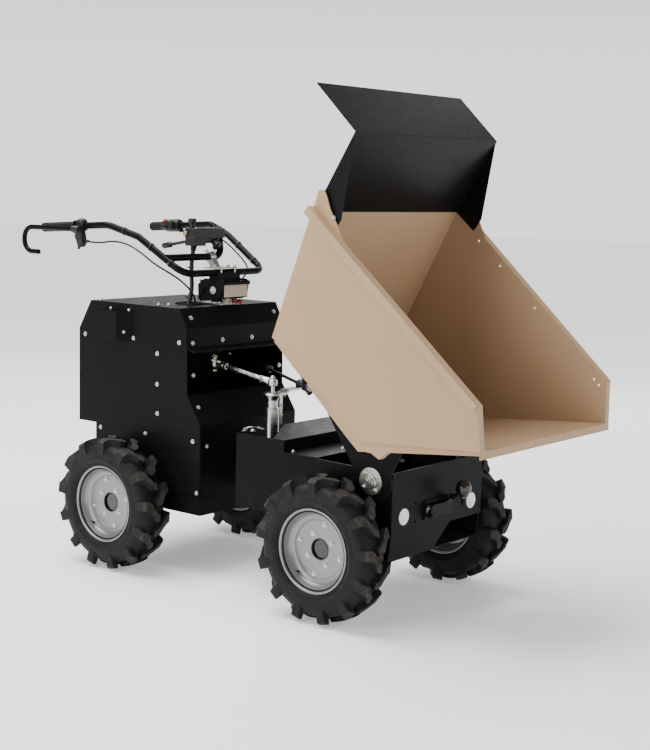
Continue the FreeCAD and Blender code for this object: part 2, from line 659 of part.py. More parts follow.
def lip_side_flange():
    """Narrow outward flange along the upright edge of the front opening."""
    dx, dz = LIP_LOW[0] - SKIP_APEX_X, LIP_LOW[1] - SKIP_FLOOR_Z
    length = math.hypot(dx, dz)
    back = Vector(-dx / length * SKIP_SHEET, 0, -dz / length * SKIP_SHEET)
    low_y, high_y = half_width(*LIP_LOW), half_width(*LIP_TOP)
    face = polygon_face([
        Vector(LIP_LOW[0], low_y - 2, LIP_LOW[1]), Vector(LIP_TOP[0], high_y - 2, LIP_TOP[1]),
        Vector(LIP_TOP[0], high_y + LIP_FLANGE, LIP_TOP[1]),
        Vector(LIP_LOW[0], low_y + LIP_FLANGE, LIP_LOW[1])])
    return face.extrude(back)


def skip_rails():
    """Two channel rails along the skip's underside, with a lug at the apex."""
    slope = math.atan2(LIP_LOW[1] - SKIP_FLOOR_Z, LIP_LOW[0] - SKIP_APEX_X)
    apex = (SKIP_APEX_X + RAIL_DEPTH * math.tan(slope / 2), SKIP_FLOOR_Z - RAIL_DEPTH)
    end = (LIP_LOW[0] - 8 * math.cos(slope), LIP_LOW[1] - 8 * math.sin(slope))
    nx, nz = math.sin(slope), -math.cos(slope)
    end_low = (end[0] + nx * RAIL_DEPTH / 2, end[1] + nz * RAIL_DEPTH / 2)
    rear = (SKIP_REAR_X + 6, SKIP_FLOOR_Z)
    outline = [rear, (SKIP_APEX_X, SKIP_FLOOR_Z), end, end_low, apex,
               (SKIP_APEX_X - 40, SKIP_FLOOR_Z - RAIL_DEPTH), (rear[0], SKIP_FLOOR_Z - RAIL_DEPTH / 2)]
    y_out = SKIP_HALF_WIDTH - 4
    rail = side_prism(outline, y_out - RAIL_WIDTH, y_out)
    lug = side_prism([(SKIP_APEX_X + x, SKIP_FLOOR_Z + z) for x, z in RAIL_LUG],
                     y_out - RAIL_WIDTH, y_out)
    rail = rail.fuse(lug)
    return Part.makeCompound([rail, mirror(rail)])


def skip_hangers():
    """Black plate under each side of the skip that hangs on the pivot."""
    x, z = SKIP_PIVOT
    low, high = HANGER_Y
    slope = math.atan2(LIP_LOW[1] - SKIP_FLOOR_Z, LIP_LOW[0] - SKIP_APEX_X)
    reach = 124.0
    far = (SKIP_APEX_X + reach * math.cos(slope), SKIP_FLOOR_Z + reach * math.sin(slope))
    outline = [(-215, SKIP_FLOOR_Z), (SKIP_APEX_X, SKIP_FLOOR_Z), far, (far[0] - 2, far[1] - 54),
               (x + 41, z + 25), (x - 44, z - 25), (-124, z + 28), (-205, SKIP_FLOOR_Z - 43)]
    plate = side_prism(outline, low, high)
    disc = rod((x, low, z), (x, high, z), HANGER_RADIUS)
    hanger = plate.fuse(disc).cut(rod((x, low - 1, z), (x, high + 1, z), STUB_RADIUS))
    foot = block((-205, SKIP_APEX_X - 4), (low - 18, low), (SKIP_FLOOR_Z - SKIP_SHEET, SKIP_FLOOR_Z))
    hanger = hanger.fuse(foot)
    return Part.makeCompound([hanger, mirror(hanger)])


def skip_pivot_stubs():
    """Flanged stub shafts bolted to the hangers, turning in the frame's bosses."""
    x, z = SKIP_PIVOT
    high = HANGER_Y[1]
    flange = rod((x, high, z), (x, high + FLANGE_THICKNESS, z), FLANGE_RADIUS)
    boss = rod((x, high, z), (x, high + FLANGE_THICKNESS + 4, z), 13)
    shaft = rod((x, HALF_FRAME - FRAME_SHEET - 26, z), (x, high, z), STUB_RADIUS)
    stub = flange.fuse(boss).fuse(shaft)
    return Part.makeCompound([stub, mirror(stub)])


def skip_cylinder_lug():
    """Twin lug under the skip's floor for the tip ram, clear of its eye."""
    x, z = CYLINDER_EYE
    lug = side_prism([(x - 26, SKIP_FLOOR_Z), (x + 26, SKIP_FLOOR_Z), (x + 16, z - 6),
                      (x - 16, z - 6)],
                     EYE_HALF_WIDTH + 3, EYE_HALF_WIDTH + 9)
    return Part.makeCompound([lug, mirror(lug)])


def spill_guard():
    """Black plate that carries the back wall up and bends back over the deck."""
    width = GUARD_HALF_WIDTH
    rim_x, rim_z = RIM_REAR
    overlap = 12.0
    lean = (SKIP_REAR_X - rim_x) / (rim_z - SKIP_FLOOR_Z)
    low = (rim_x + overlap * lean + SKIP_SHEET * math.hypot(1, lean) + LOCATING_GAP, rim_z - overlap)
    path = [low, GUARD_BEND, GUARD_END]
    plate = side_prism(strip(path, GUARD_SHEET, -1), -width, width)
    gusset = side_prism([GUARD_BEND, low, (GUSSET_FRONT_X, rim_z - 14),
                         (GUSSET_FRONT_X - 2, rim_z + 30)], width - GUARD_SHEET, width)
    return plate.fuse(gusset).fuse(mirror(gusset))


def tipped(shape, angle=SKIP_TIP):
    moved = shape.copy()
    moved.rotate(Vector(SKIP_PIVOT[0], 0, SKIP_PIVOT[1]), Vector(0, 1, 0), angle)
    return moved


# ---------------------------------------------------------- tip cylinder ---


def ram_line():
    """Base pin, tipped eye and unit direction between them, in X and Z."""
    eye = Vector(CYLINDER_EYE[0], 0, CYLINDER_EYE[1])
    turn = FreeCAD.Rotation(Vector(0, 1, 0), SKIP_TIP)
    centre = Vector(SKIP_PIVOT[0], 0, SKIP_PIVOT[1])
    eye = centre + turn.multVec(eye - centre)
    base = Vector(CYLINDER_BASE[0], 0, CYLINDER_BASE[1])
    return base, eye, (eye - base).normalize()


def tip_cylinder():
    """Barrel with a flat neck that turns between the crossmember's ears."""
    base, _, along = ram_line()
    neck_end = EYE_RADIUS + 19
    across = Vector(0, 1, 0)
    slab = Part.makeBox(600, 2 * EYE_HALF_WIDTH, 600, base - Vector(300, EYE_HALF_WIDTH, 300))
    neck = Part.makeCylinder(CYLINDER_RADIUS - 4, neck_end + 1, base, along).common(slab)
    barrel = Part.makeCylinder(CYLINDER_RADIUS, CYLINDER_LENGTH - neck_end, base + along * neck_end, along)
    eye_ring = Part.makeCylinder(EYE_RADIUS + 4, 2 * EYE_HALF_WIDTH, base - across * EYE_HALF_WIDTH, across)
    pin = Part.makeCylinder(EYE_PIN_RADIUS + PIN_CLEARANCE, 60, base - across * 30, across)
    bore = Part.makeCylinder(RAM_RADIUS + RAM_CLEARANCE, CYLINDER_LENGTH, base + along * 25, along)
    return neck.fuse(barrel).fuse(eye_ring).cut(pin).cut(bore)


def tip_ram():
    _, eye, along = ram_line()
    across = Vector(0, 1, 0)
    ram = Part.makeCylinder(RAM_RADIUS, RAM_LENGTH, eye - along * RAM_LENGTH, along)
    end = Part.makeCylinder(EYE_RADIUS, 2 * EYE_HALF_WIDTH, eye - across * EYE_HALF_WIDTH, across)
    return ram.fuse(end)


# ------------------------------------------------------------- handlebar ---


def arm_points(side):
    """Centre line of one arm, from the grip's end to the middle of the cross bar."""
    run = [GRIP_END, UPPER_BEND, MIDDLE_BEND, (CROSS_BAR_X, CROSS_BAR_Y, CROSS_BAR_Z)]
    return [(x, side * y, z) for x, y, z in run] + [(CROSS_BAR_X, 0, CROSS_BAR_Z)]


def arm_core(side):
    return pipe(arm_points(side), BAR_BENDS, BAR_RADIUS)


def handlebar_tube():
    points = arm_points(-1)[:-1] + arm_points(1)[-2::-1]
    return tube(points, BAR_BENDS + BAR_BENDS[::-1], BAR_RADIUS, BAR_WALL)


def handlebar_strut():
    """Second tube: from the right arm across to the middle and up to the console."""
    points = [(STRUT_X, -CROSS_BAR_Y - 7, STRUT_Z), (STRUT_X, 52, STRUT_Z),
              (STRUT_X - 12, 56, CONSOLE_Z[0] + 6)]
    strut = pipe(points, [30], BAR_RADIUS)
    return strut.cut(arm_core(-1)).cut(block(CONSOLE_X, CONSOLE_Y, CONSOLE_Z))


def handlebar_mount():
    """Zinc plate on the cross bar with the clamp that steadies the strut."""
    base = CROSS_BAR_Z + BAR_RADIUS
    plate = block((CROSS_BAR_X - 52, CROSS_BAR_X + 12), (-45, 45), (base, base + 4))
    ring = Part.makeCylinder(BAR_RADIUS + 5, 23, Vector(STRUT_X, -8, STRUT_Z), Vector(0, 1, 0))
    web = side_prism([(STRUT_X - 14, STRUT_Z), (STRUT_X + 14, STRUT_Z),
                      (CROSS_BAR_X - 34, base + 4), (CROSS_BAR_X - 52, base)], -8, 15)
    core = Part.makeCylinder(BAR_RADIUS, 200, Vector(STRUT_X, -100, STRUT_Z), Vector(0, 1, 0))
    return plate.fuse(ring).fuse(web).cut(core)


def handlebar_bracket():
    """Sheet saddle between the steering column and the cross bar."""
    low_x, high_x = BRACKET_X
    low_z, high_z = BRACKET_Z
    outer = block((low_x, high_x), (-BRACKET_Y, BRACKET_Y), (low_z, high_z))
    inner = block((low_x - 1, high_x - SHEET), (-BRACKET_Y + SHEET, BRACKET_Y - SHEET),
                  (low_z - 1, high_z - SHEET))
    seat = block((CROSS_BAR_X - 20, CROSS_BAR_X + 20), (-50, 50), (high_z, CROSS_BAR_Z))
    core = Part.makeCylinder(BAR_RADIUS, 200, Vector(CROSS_BAR_X, -100, CROSS_BAR_Z), Vector(0, 1, 0))
    return outer.cut(inner).fuse(seat).cut(core)


def steering_column():
    """Column with its head plate above the deck and the pitman arm below it."""
    top = BRACKET_Z[1] - SHEET
    shaft = rod((COLUMN_X, 0, PITMAN_Z - 8), (COLUMN_X, 0, top), COLUMN_RADIUS)
    head = block((COLUMN_X - 6, COLUMN_X + 60), (-36, 36), (top - 8, top))
    collar = rod((COLUMN_X, 0, DECK_Z + 8), (COLUMN_X, 0, DECK_Z + 26), COLUMN_RADIUS + 8)
    dx, dy = PITMAN_BALL_X - COLUMN_X, PITMAN_BALL_Y
    length = math.hypot(dx, dy)
    ux, uy = dx / length, dy / length
    half = 11.0
    arm = plan_prism([(COLUMN_X - uy * half, ux * half), (COLUMN_X + uy * half, -ux * half),
                      (PITMAN_BALL_X + uy * half, PITMAN_BALL_Y - ux * half),
                      (PITMAN_BALL_X - uy * half, PITMAN_BALL_Y + ux * half)],
                     PITMAN_Z - 8, PITMAN_Z)
    ends = rod((COLUMN_X, 0, PITMAN_Z - 8), (COLUMN_X, 0, PITMAN_Z), 16).fuse(
        rod((PITMAN_BALL_X, PITMAN_BALL_Y, PITMAN_Z - 8), (PITMAN_BALL_X, PITMAN_BALL_Y, PITMAN_Z), half))
    return shaft.fuse(head).fuse(collar).fuse(arm).fuse(ends)


def column_bearing():
    """Flanged bearing bolted to the deck round the column."""
    base = DECK_Z
    flange = block((COLUMN_X - 42, COLUMN_X + 42), (-30, 30), (base, base + 5))
    ring = rod((COLUMN_X, 0, base), (COLUMN_X, 0, base + 8 - LOCATING_GAP), 22)
    bore = rod((COLUMN_X, 0, base - 1), (COLUMN_X, 0, base + 20), COLUMN_RADIUS + PIN_CLEARANCE)
    return flange.fuse(ring).cut(bore).cut(block(CABLE_SLOT_X, CABLE_SLOT_Y, (base - 1, base + 20)))


def along_arm(side, distance):
    """Point on an arm's rear straight run and the run's direction."""
    start, bend = Vector(*GRIP_END), Vector(*UPPER_BEND)
    start.y, bend.y = side * start.y, side * bend.y
    direction = (bend - start).normalize()
    return start + direction * distance, direction


def grip(side, length):
    start, direction = along_arm(side, -4)
    outer = Part.makeCylinder(GRIP_RADIUS, length + 4, start, direction)
    return outer.cut(arm_core(side))


def switch_housing():
    """Split housing on the left arm, inboard of the grip, with two buttons."""
    start, direction = along_arm(1, LEFT_GRIP_LENGTH + 2)
    body = Part.makeCylinder(22, 62, start, direction)
    pod = block((start.x + 8, start.x + 54), (start.y - 44, start.y), (start.z - 14, start.z + 16))
    shape = body.fuse(pod)
    for step in (20, 42):
        top = Vector(start.x + step, start.y - 30, start.z + 14)
        shape = shape.fuse(Part.makeCylinder(8, 9, top, Vector(0, 0, 1)))
    return shape.cut(arm_core(1))


def hand_guard():
    """Hooked bar beside the right grip that the operator's hand works."""
    low, high = GUARD_BAR_Z
    radius = (high - low) / 2 - 2
    points = [(-1058, GUARD_BAR_Y, high), (GUARD_BAR_END_X, GUARD_BAR_Y, high),
              (GUARD_BAR_END_X, GUARD_BAR_Y, low), (-1243, GUARD_BAR_Y, low)]
    return pipe(points, [radius, radius], GUARD_BAR_RADIUS)


def lever_bracket():
    """Housing on the right arm that holds the hand bar and the cable's end."""
    x, z = -1066.0, GUARD_BAR_Z[1]
    arm_y = -(UPPER_BEND[1] + GRIP_END[1]) / 2
    body = side_prism([(x - 24, z + 26), (x + 20, z + 28), (x + 24, z - 8), (x + 22, z - 38),
                       (x + 2, z - 53), (x - 16, z - 44), (x - 24, z - 12)],
                      GUARD_BAR_Y - 10, arm_y + 14)
    return body.cut(arm_core(-1)).cut(hand_guard())


def console():
    """Switch box in the middle, with a deeper housing, a knob and a lever."""
    box = block(CONSOLE_X, CONSOLE_Y, CONSOLE_Z)
    housing = block((CONSOLE_X[0] + 4, CONSOLE_X[1] - 4), (CONSOLE_Y[0], CONSOLE_Y[0] + 50),
                    (CONSOLE_Z[0] - 24, CONSOLE_Z[0]))
    x, y = CONSOLE_X[0] + 8, -40.0
    knob = rod((x, y, CONSOLE_Z[1]), (x, y, CONSOLE_Z[1] + 20), 6).fuse(
        rod((x, y, CONSOLE_Z[1] + 16), (x, y, CONSOLE_Z[1] + 30), 13))
    lever = rod((CONSOLE_X[0] + 8, y, CONSOLE_Z[0] - 8), (CONSOLE_X[0] - 122, y, CONSOLE_Z[0] - 30), 5)
    tip = Part.makeSphere(10, Vector(CONSOLE_X[0] - 124, y, CONSOLE_Z[0] - 31))
    return box.fuse(housing).fuse(knob).fuse(lever).fuse(tip)


# -------------------------------------------------------- steering rods ----


def tie_rod():
    """Rod with a ball end at each end; both ends carry their own bolt."""
    rear = (PITMAN_BALL_X, PITMAN_BALL_Y, PITMAN_Z + 14)
    front = (POST_X, POST_Y, POST_PLATE_Z + POST_PLATE + ROD_END_RISE)
    shape = rod(rear, front, TIE_ROD_RADIUS)
    for (x, y, z), seat in ((rear, PITMAN_Z), (front, POST_PLATE_Z + POST_PLATE)):
        shape = shape.fuse(rod((x, y, z - 8), (x, y, z + 8), 14))
        shape = shape.fuse(rod((x, y, seat + LOCATING_GAP), (x, y, z + 16), 6))
    return shape


def damper_points():
    rear = Vector(DAMPER_REAR_X, DAMPER_REAR_Y, DAMPER_REAR_Z)
    front = Vector(POST_X, KNUCKLE_Y, DAMPER_FRONT_Z)
    return rear, front, (front - rear).normalize()


def leaned(shape):
    """Turn a shape built upright at the damper's rear eye onto the eye's axis."""
    moved = shape.copy()
    moved.rotate(Vector(DAMPER_REAR_X, DAMPER_REAR_Y, DAMPER_REAR_Z), Vector(1, 0, 0), -DAMPER_TILT)
    return moved


def damper_body():
    rear, _, along = damper_points()
    length = 190.0
    body = Part.makeCylinder(DAMPER_BODY_RADIUS, length - 22, rear + along * 22, along)
    neck = Part.makeCylinder(6, 30, rear, along)
    eye = leaned(Part.makeCylinder(13, 18, rear - Vector(0, 0, 9), Vector(0, 0, 1)))
    bore = Part.makeCylinder(DAMPER_ROD_RADIUS + RAM_CLEARANCE, length, rear + along * 30, along)
    pin = leaned(Part.makeCylinder(6 + PIN_CLEARANCE, 60, rear - Vector(0, 0, 30), Vector(0, 0, 1)))
    return body.fuse(neck).fuse(eye).cut(pin).cut(bore)


def damper_rod():
    _, front, along = damper_points()
    reach = 196.0
    bar = Part.makeCylinder(DAMPER_ROD_RADIUS, reach, front - along * reach, along)
    knuckle = Part.makeCylinder(12, 30, front - along * 15, along)
    tail = rod((front.x, front.y, front.z), (front.x + 12, front.y + 27, front.z - 25), 9.5)
    return bar.fuse(knuckle).fuse(tail)


def damper_anchor():
    """Plates on the recess wall and the pin that hold the damper's rear eye."""
    x, y, z = DAMPER_REAR_X, DAMPER_REAR_Y, DAMPER_REAR_Z
    wall = RECESS_LOW_X - RECESS_DEPTH
    lower = block((wall, x + 9), (y - 12, y + 12), (z - 15, z - 9 - LOCATING_GAP))
    upper = block((wall, x + 9), (y - 12, y + 12), (z + 9 + LOCATING_GAP, z + 15))
    pin = rod((x, y, z - 15), (x, y, z + 15), 6)
    return leaned(lower.fuse(upper).fuse(pin))


# ---------------------------------------------------------------- cables ---


def cable(name, points, diameter):
    """Tube along a hand-laid route; each bend is as round as its runs allow."""
    radii = []
    for before, corner, after in zip(points, points[1:], points[2:]):
        into, out = Vector(*corner) - Vector(*before), Vector(*after) - Vector(*corner)
        shorter = min(into.Length, out.Length)
        radii.append(0.45 * shorter / math.tan(into.getAngle(out) / 2))
    print(name, "bend radii", [round(radius) for radius in radii])
    shape = pipe(points, radii, diameter / 2)
    length = rounded_path(points, radii).Length
    print(name, "length %.0f, volume over section times length %.4f"
          % (length, shape.Volume / (math.pi * diameter ** 2 / 4 * length)))
    return shape


# -------------------------------------------------------------- assembly ---

parts = {
    "rear_side_panel_left": rear_side_panel(1),
    "rear_side_panel_right": rear_side_panel(-1),
    "rear_top_cover": rear_top_cover(),
    "rear_front_upper_panel": rear_front_upper(),
    "rear_front_lower_panel": rear_front_lower(),
    "rear_recess_tray": rear_recess_tray(),
    "rear_step_panel": rear_step_panel(),
    "rear_belly_pan": rear_belly(),
    "battery_pack": battery_pack(),
    "motor_controller": motor_controller(),
    "charge_socket_cover": charge_cover(),
    "articulation_tube": articulation_tube(),
    "articulation_carrier": tube_carrier(),
    "column_bearing": column_bearing(),
    "damper_anchor": damper_anchor(),
    "front_side_panel_left": front_side_panel(1),
    "front_side_panel_right": front_side_panel(-1),
    "front_deck": front_deck(),
    "front_nose_plate": front_plate(),
    "front_floor": front_floor(),
    "articulation_yoke": articulation_yoke(),
    "steering_post": steering_post(),
    "skip_latch_lever": latch_lever(),
    "skip_tub": tipped(skip_tub()),
    "skip_side_left": tipped(skip_side(1)),
    "skip_side_right": tipped(skip_side(-1)),
    "skip_rails": tipped(skip_rails()),
    "skip_hangers": tipped(skip_hangers()),
    "skip_pivot_stubs": tipped(skip_pivot_stubs()),
    "skip_ram_lugs": tipped(skip_cylinder_lug()),
    "spill_guard": tipped(spill_guard()),
    "tip_cylinder": tip_cylinder(),
    "tip_ram": tip_ram(),
    "handlebar_tube": handlebar_tube(),
    "handlebar_strut": handlebar_strut(),
    "handlebar_mount": handlebar_mount(),
    "handlebar_bracket": handlebar_bracket(),
    "steering_column": steering_column(),
    "handlebar_grips": Part.makeCompound([grip(-1, RIGHT_GRIP_LENGTH), grip(1, LEFT_GRIP_LENGTH)]),
    "switch_housing": switch_housing(),
    "hand_guard_bar": hand_guard(),
    "brake_lever_bracket": lever_bracket(),
    "switch_console": console(),
    "brake_cable": cable("brake_cable", BRAKE_CABLE, CABLE_DIAMETER),
    "switch_cable": cable("switch_cable", SWITCH_CABLE, CABLE_DIAMETER),
    "control_harness": cable("control_harness", CONTROL_HARNESS, HARNESS_DIAMETER),
    "tie_rod": tie_rod(),
    "damper_body": damper_body(),
    "damper_rod": damper_rod(),
    "rear_axle_stubs": Part.makeCompound(
        [axle_stub(REAR_AXLE_X, side, HALF_BODY - SHEET) for side in (1, -1)]),
    "front_axle_stubs": Part.makeCompound(
        [axle_stub(0.0, side, HALF_FRAME) for side in (1, -1)]),
}
for end, axle_x in (("front", 0.0), ("rear", REAR_AXLE_X)):
    for name, side in (("left", 1), ("right", -1)):
        parts["tyre_%s_%s" % (end, name)] = tyre(axle_x, side)
        parts["rim_%s_%s" % (end, name)] = rim(axle_x, side)

box = FreeCAD.BoundBox()
for shape in parts.values():
    box.add(shape.BoundBox)
SHIFT = round(-(box.XMin + box.XMax) / 2, 1)

os.makedirs("parts", exist_ok=True)
for name, shape in parts.items():
    shape.translate(Vector(SHIFT, 0, 0))
    if not shape.isValid():
        print("invalid", name)
    shape.exportStep("parts/%s.step" % name)
    print("%-26s solids %d volume %.0f" % (name, len(shape.Solids), shape.Volume))
print("shift", SHIFT, "box", box)
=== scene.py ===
import math

import bmesh
import bpy
from mathutils import Matrix, Vector


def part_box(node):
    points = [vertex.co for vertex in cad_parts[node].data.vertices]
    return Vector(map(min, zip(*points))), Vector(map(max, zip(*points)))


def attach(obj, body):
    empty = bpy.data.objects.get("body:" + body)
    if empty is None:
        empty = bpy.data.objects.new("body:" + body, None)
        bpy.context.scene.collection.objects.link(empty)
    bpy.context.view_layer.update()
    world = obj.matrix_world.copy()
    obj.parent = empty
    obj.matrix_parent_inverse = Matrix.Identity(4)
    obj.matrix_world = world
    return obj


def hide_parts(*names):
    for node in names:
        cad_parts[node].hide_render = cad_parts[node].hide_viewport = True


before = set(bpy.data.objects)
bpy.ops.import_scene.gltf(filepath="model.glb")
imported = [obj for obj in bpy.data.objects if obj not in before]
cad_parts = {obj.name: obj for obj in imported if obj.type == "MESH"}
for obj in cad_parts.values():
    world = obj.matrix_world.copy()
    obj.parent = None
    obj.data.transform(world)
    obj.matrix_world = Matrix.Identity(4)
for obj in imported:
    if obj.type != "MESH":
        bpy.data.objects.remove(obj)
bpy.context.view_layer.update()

# Looks for the site dumper.  Places are written in millimetres with X = 0 at
# the front axle, as the machine was laid out; at() turns them into the row
# frame, which has its origin under the middle of the whole machine.

front_low, front_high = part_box("tyre_front_left")
rear_low, rear_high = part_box("tyre_rear_left")
AXLE_X = (front_low[0] + front_high[0]) / 2
REAR_AXLE = ((rear_low[0] + rear_high[0]) / 2 - AXLE_X) * 1000
WHEEL_Y = (front_low[1] + front_high[1]) / 2 * 1000
WHEEL_Z = (front_low[2] + front_high[2]) / 2 * 1000
SIDE_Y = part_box("rear_top_cover")[1][1] * 1000
DECK_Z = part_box("rear_top_cover")[1][2] * 1000
REAR_X = (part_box("rear_top_cover")[0][0] - AXLE_X) * 1000
NOSE_X = (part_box("front_nose_plate")[1][0] - AXLE_X) * 1000


def at(x, y, z):
    """Place in the row frame, in metres."""
    return Vector((x / 1000 + AXLE_X, y / 1000, z / 1000))


# ---------------------------------------------------------------- camera ---

CAMERA_PLACE = (2422.0, -3316.6, 1191.0)
CAMERA_AZIMUTH = math.radians(38.888)
CAMERA_ELEVATION = math.radians(7.406)
CAMERA_ROLL = math.radians(1.329)
CAMERA_LENS = 68.87


def make_camera():
    """Camera at the viewing angle asked for, level but for a small roll."""
    a, e, r = CAMERA_AZIMUTH, CAMERA_ELEVATION, CAMERA_ROLL
    right = Vector((math.cos(a), math.sin(a), 0))
    back = Vector((math.sin(a) * math.cos(e), -math.cos(a) * math.cos(e), math.sin(e)))
    up = back.cross(right)
    rolled_right = right * math.cos(r) + up * math.sin(r)
    rolled_up = up * math.cos(r) - right * math.sin(r)
    data = bpy.data.cameras.new("camera")
    data.lens = CAMERA_LENS
    data.sensor_width = 36.0
    camera = bpy.data.objects.new("camera", data)
    turn = Matrix((rolled_right, rolled_up, back)).transposed().to_4x4()
    camera.matrix_world = Matrix.Translation(at(*CAMERA_PLACE)) @ turn
    bpy.context.collection.objects.link(camera)
    bpy.context.scene.camera = camera


make_camera()

# ------------------------------------------------------------- materials ---


class Surface:
    """A principled material with object-space coordinates in metres."""

    def __init__(self, name):
        self.material = bpy.data.materials.new(name)
        self.material.use_nodes = True
        self.tree = self.material.node_tree
        self.shader = self.tree.nodes["Principled BSDF"]
        self.place = self.node("ShaderNodeTexCoord").outputs["Object"]

    def node(self, kind, **values):
        node = self.tree.nodes.new(kind)
        for key, value in values.items():
            setattr(node, key, value)
        return node

    def link(self, output, socket):
        self.tree.links.new(output, socket)

    def set(self, **values):
        for key, value in values.items():
            self.shader.inputs[key.replace("_", " ")].default_value = value

    def noise(self, scale, detail=3.0, stretch=(1, 1, 1), roughness=0.55):
        mapping = self.node("ShaderNodeMapping")
        mapping.inputs["Scale"].default_value = stretch
        self.link(self.place, mapping.inputs["Vector"])
        noise = self.node("ShaderNodeTexNoise")
        noise.inputs["Scale"].default_value = scale
        noise.inputs["Detail"].default_value = detail
        noise.inputs["Roughness"].default_value = roughness
        self.link(mapping.outputs["Vector"], noise.inputs["Vector"])
        return noise.outputs["Fac"]

    def spread(self, value, low, high, to_low=0.0, to_high=1.0):
        ranged = self.node("ShaderNodeMapRange")
        self.link(value, ranged.inputs["Value"])
        for key, number in (("From Min", low), ("From Max", high),
                            ("To Min", to_low), ("To Max", to_high)):
            ranged.inputs[key].default_value = number
        return ranged.outputs["Result"]

    def mix(self, factor, first, second):
        mix = self.node("ShaderNodeMix", data_type="RGBA")
        if isinstance(factor, float):
            mix.inputs[0].default_value = factor
        else:
            self.link(factor, mix.inputs[0])
        for socket, colour in ((mix.inputs[6], first), (mix.inputs[7], second)):
            if isinstance(colour, tuple):
                socket.default_value = (*colour, 1.0)
            else:
                self.link(colour, socket)
        return mix.outputs[2]

    def times(self, first, second):
        node = self.node("ShaderNodeMath", operation="MULTIPLY")
        self.link(first, node.inputs[0])
        if isinstance(second, float):
            node.inputs[1].default_value = second
        else:
            self.link(second, node.inputs[1])
        return node.outputs[0]

    def height(self):
        """Height above the floor in metres."""
        split = self.node("ShaderNodeSeparateXYZ")
        self.link(self.place, split.inputs[0])
        return split.outputs["Z"]

    def colour(self, output):
        self.link(output, self.shader.inputs["Base Color"])

    def roughness(self, output):
        self.link(output, self.shader.inputs["Roughness"])

    def bump(self, output, distance, edge=0.0):
        """Fine relief, over edges rounded by the given radius in metres."""
        bump = self.node("ShaderNodeBump")
        bump.inputs["Distance"].default_value = distance
        self.link(output, bump.inputs["Height"])
        if edge:
            soft = self.node("ShaderNodeBevel", samples=4)
            soft.inputs["Radius"].default_value = edge
            self.link(soft.outputs["Normal"], bump.inputs["Normal"])
        self.link(bump.outputs["Normal"], self.shader.inputs["Normal"])


def powder_coat(name, base, dusty, roughness, edge=0.0015, dust=0.25, gloss=0.08, grain=0.00003,
                metallic=0.0):
    """Oven-baked paint: orange peel, faint clouding and a little dust low down."""
    s = Surface(name)
    s.set(Specular_IOR_Level=gloss, Metallic=metallic)
    clouds = s.spread(s.noise(3.2, 4.0), 0.35, 0.7)
    low_down = s.times(s.spread(s.height(), 0.55, 0.1), s.spread(s.noise(34.0, 5.0), 0.42, 0.72))
    tint = s.mix(s.times(clouds, 0.35), base, tuple(c * 1.25 for c in base))
    s.colour(s.mix(s.times(low_down, dust), tint, dusty))
    s.roughness(s.spread(s.noise(46.0, 4.0), 0.3, 0.7, roughness - 0.05, roughness + 0.07))
    s.bump(s.noise(300.0, 2.0), grain, edge)
    return s.material


def bare_metal(name, base, tint, roughness, metallic=1.0, stretch=(1, 1, 1), edge=0.0008):
    """Plated or brushed steel, with the plating's faint change of colour."""
    s = Surface(name)
    s.set(Metallic=metallic)
    s.colour(s.mix(s.spread(s.noise(26.0, 4.0), 0.35, 0.65), base, tint))
    s.roughness(s.spread(s.noise(160.0, 3.0, stretch), 0.3, 0.7, roughness - 0.07, roughness + 0.1))
    s.bump(s.noise(300.0, 2.0, stretch), 0.000012, edge)
    return s.material


def rubber(name, base, worn, roughness, grain=700.0, patches=(0.4, 0.7), depth=0.0002):
    """Dull rubber, paler and dusty where it is worn."""
    s = Surface(name)
    s.set(Specular_IOR_Level=0.14)
    marks = s.spread(s.noise(48.0, 6.0, roughness=0.65), *patches)
    s.colour(s.mix(marks, base, worn))
    s.roughness(s.spread(s.noise(90.0, 4.0), 0.3, 0.7, roughness - 0.08, roughness + 0.08))
    s.bump(s.noise(grain, 3.0), depth, 0.0012)
    return s.material


def moulded(name, base, roughness, grain=600.0, gloss=0.3):
    """Moulded plastic with a fine grain."""
    s = Surface(name)
    s.set(Specular_IOR_Level=gloss)
    s.colour(s.mix(s.spread(s.noise(20.0), 0.3, 0.7), base, tuple(c * 1.4 for c in base)))
    s.roughness(s.spread(s.noise(220.0), 0.3, 0.7, roughness - 0.05, roughness + 0.08))
    s.bump(s.noise(grain, 2.0), 0.00002, 0.0006)
    return s.material


def pale_floor():
    """White floor that glows more with distance, so that it meets the sky evenly."""
    s = Surface("studio_floor")
    s.set(Specular_IOR_Level=0.1)
    s.colour(s.mix(s.spread(s.noise(0.7), 0.3, 0.7), (0.86, 0.86, 0.86), (0.88, 0.88, 0.88)))
    s.roughness(s.spread(s.noise(5.0), 0.3, 0.7, 0.75, 0.85))
    reach = s.node("ShaderNodeVectorMath", operation="LENGTH")
    s.link(s.place, reach.inputs[0])
    ranged = s.spread(reach.outputs["Value"], 1.2, 4.5, 0.36, 1.15)
    s.shader.inputs["Emission Color"].default_value = (1.0, 1.0, 1.0, 1.0)
    s.link(ranged, s.shader.inputs["Emission Strength"])
    return s.material


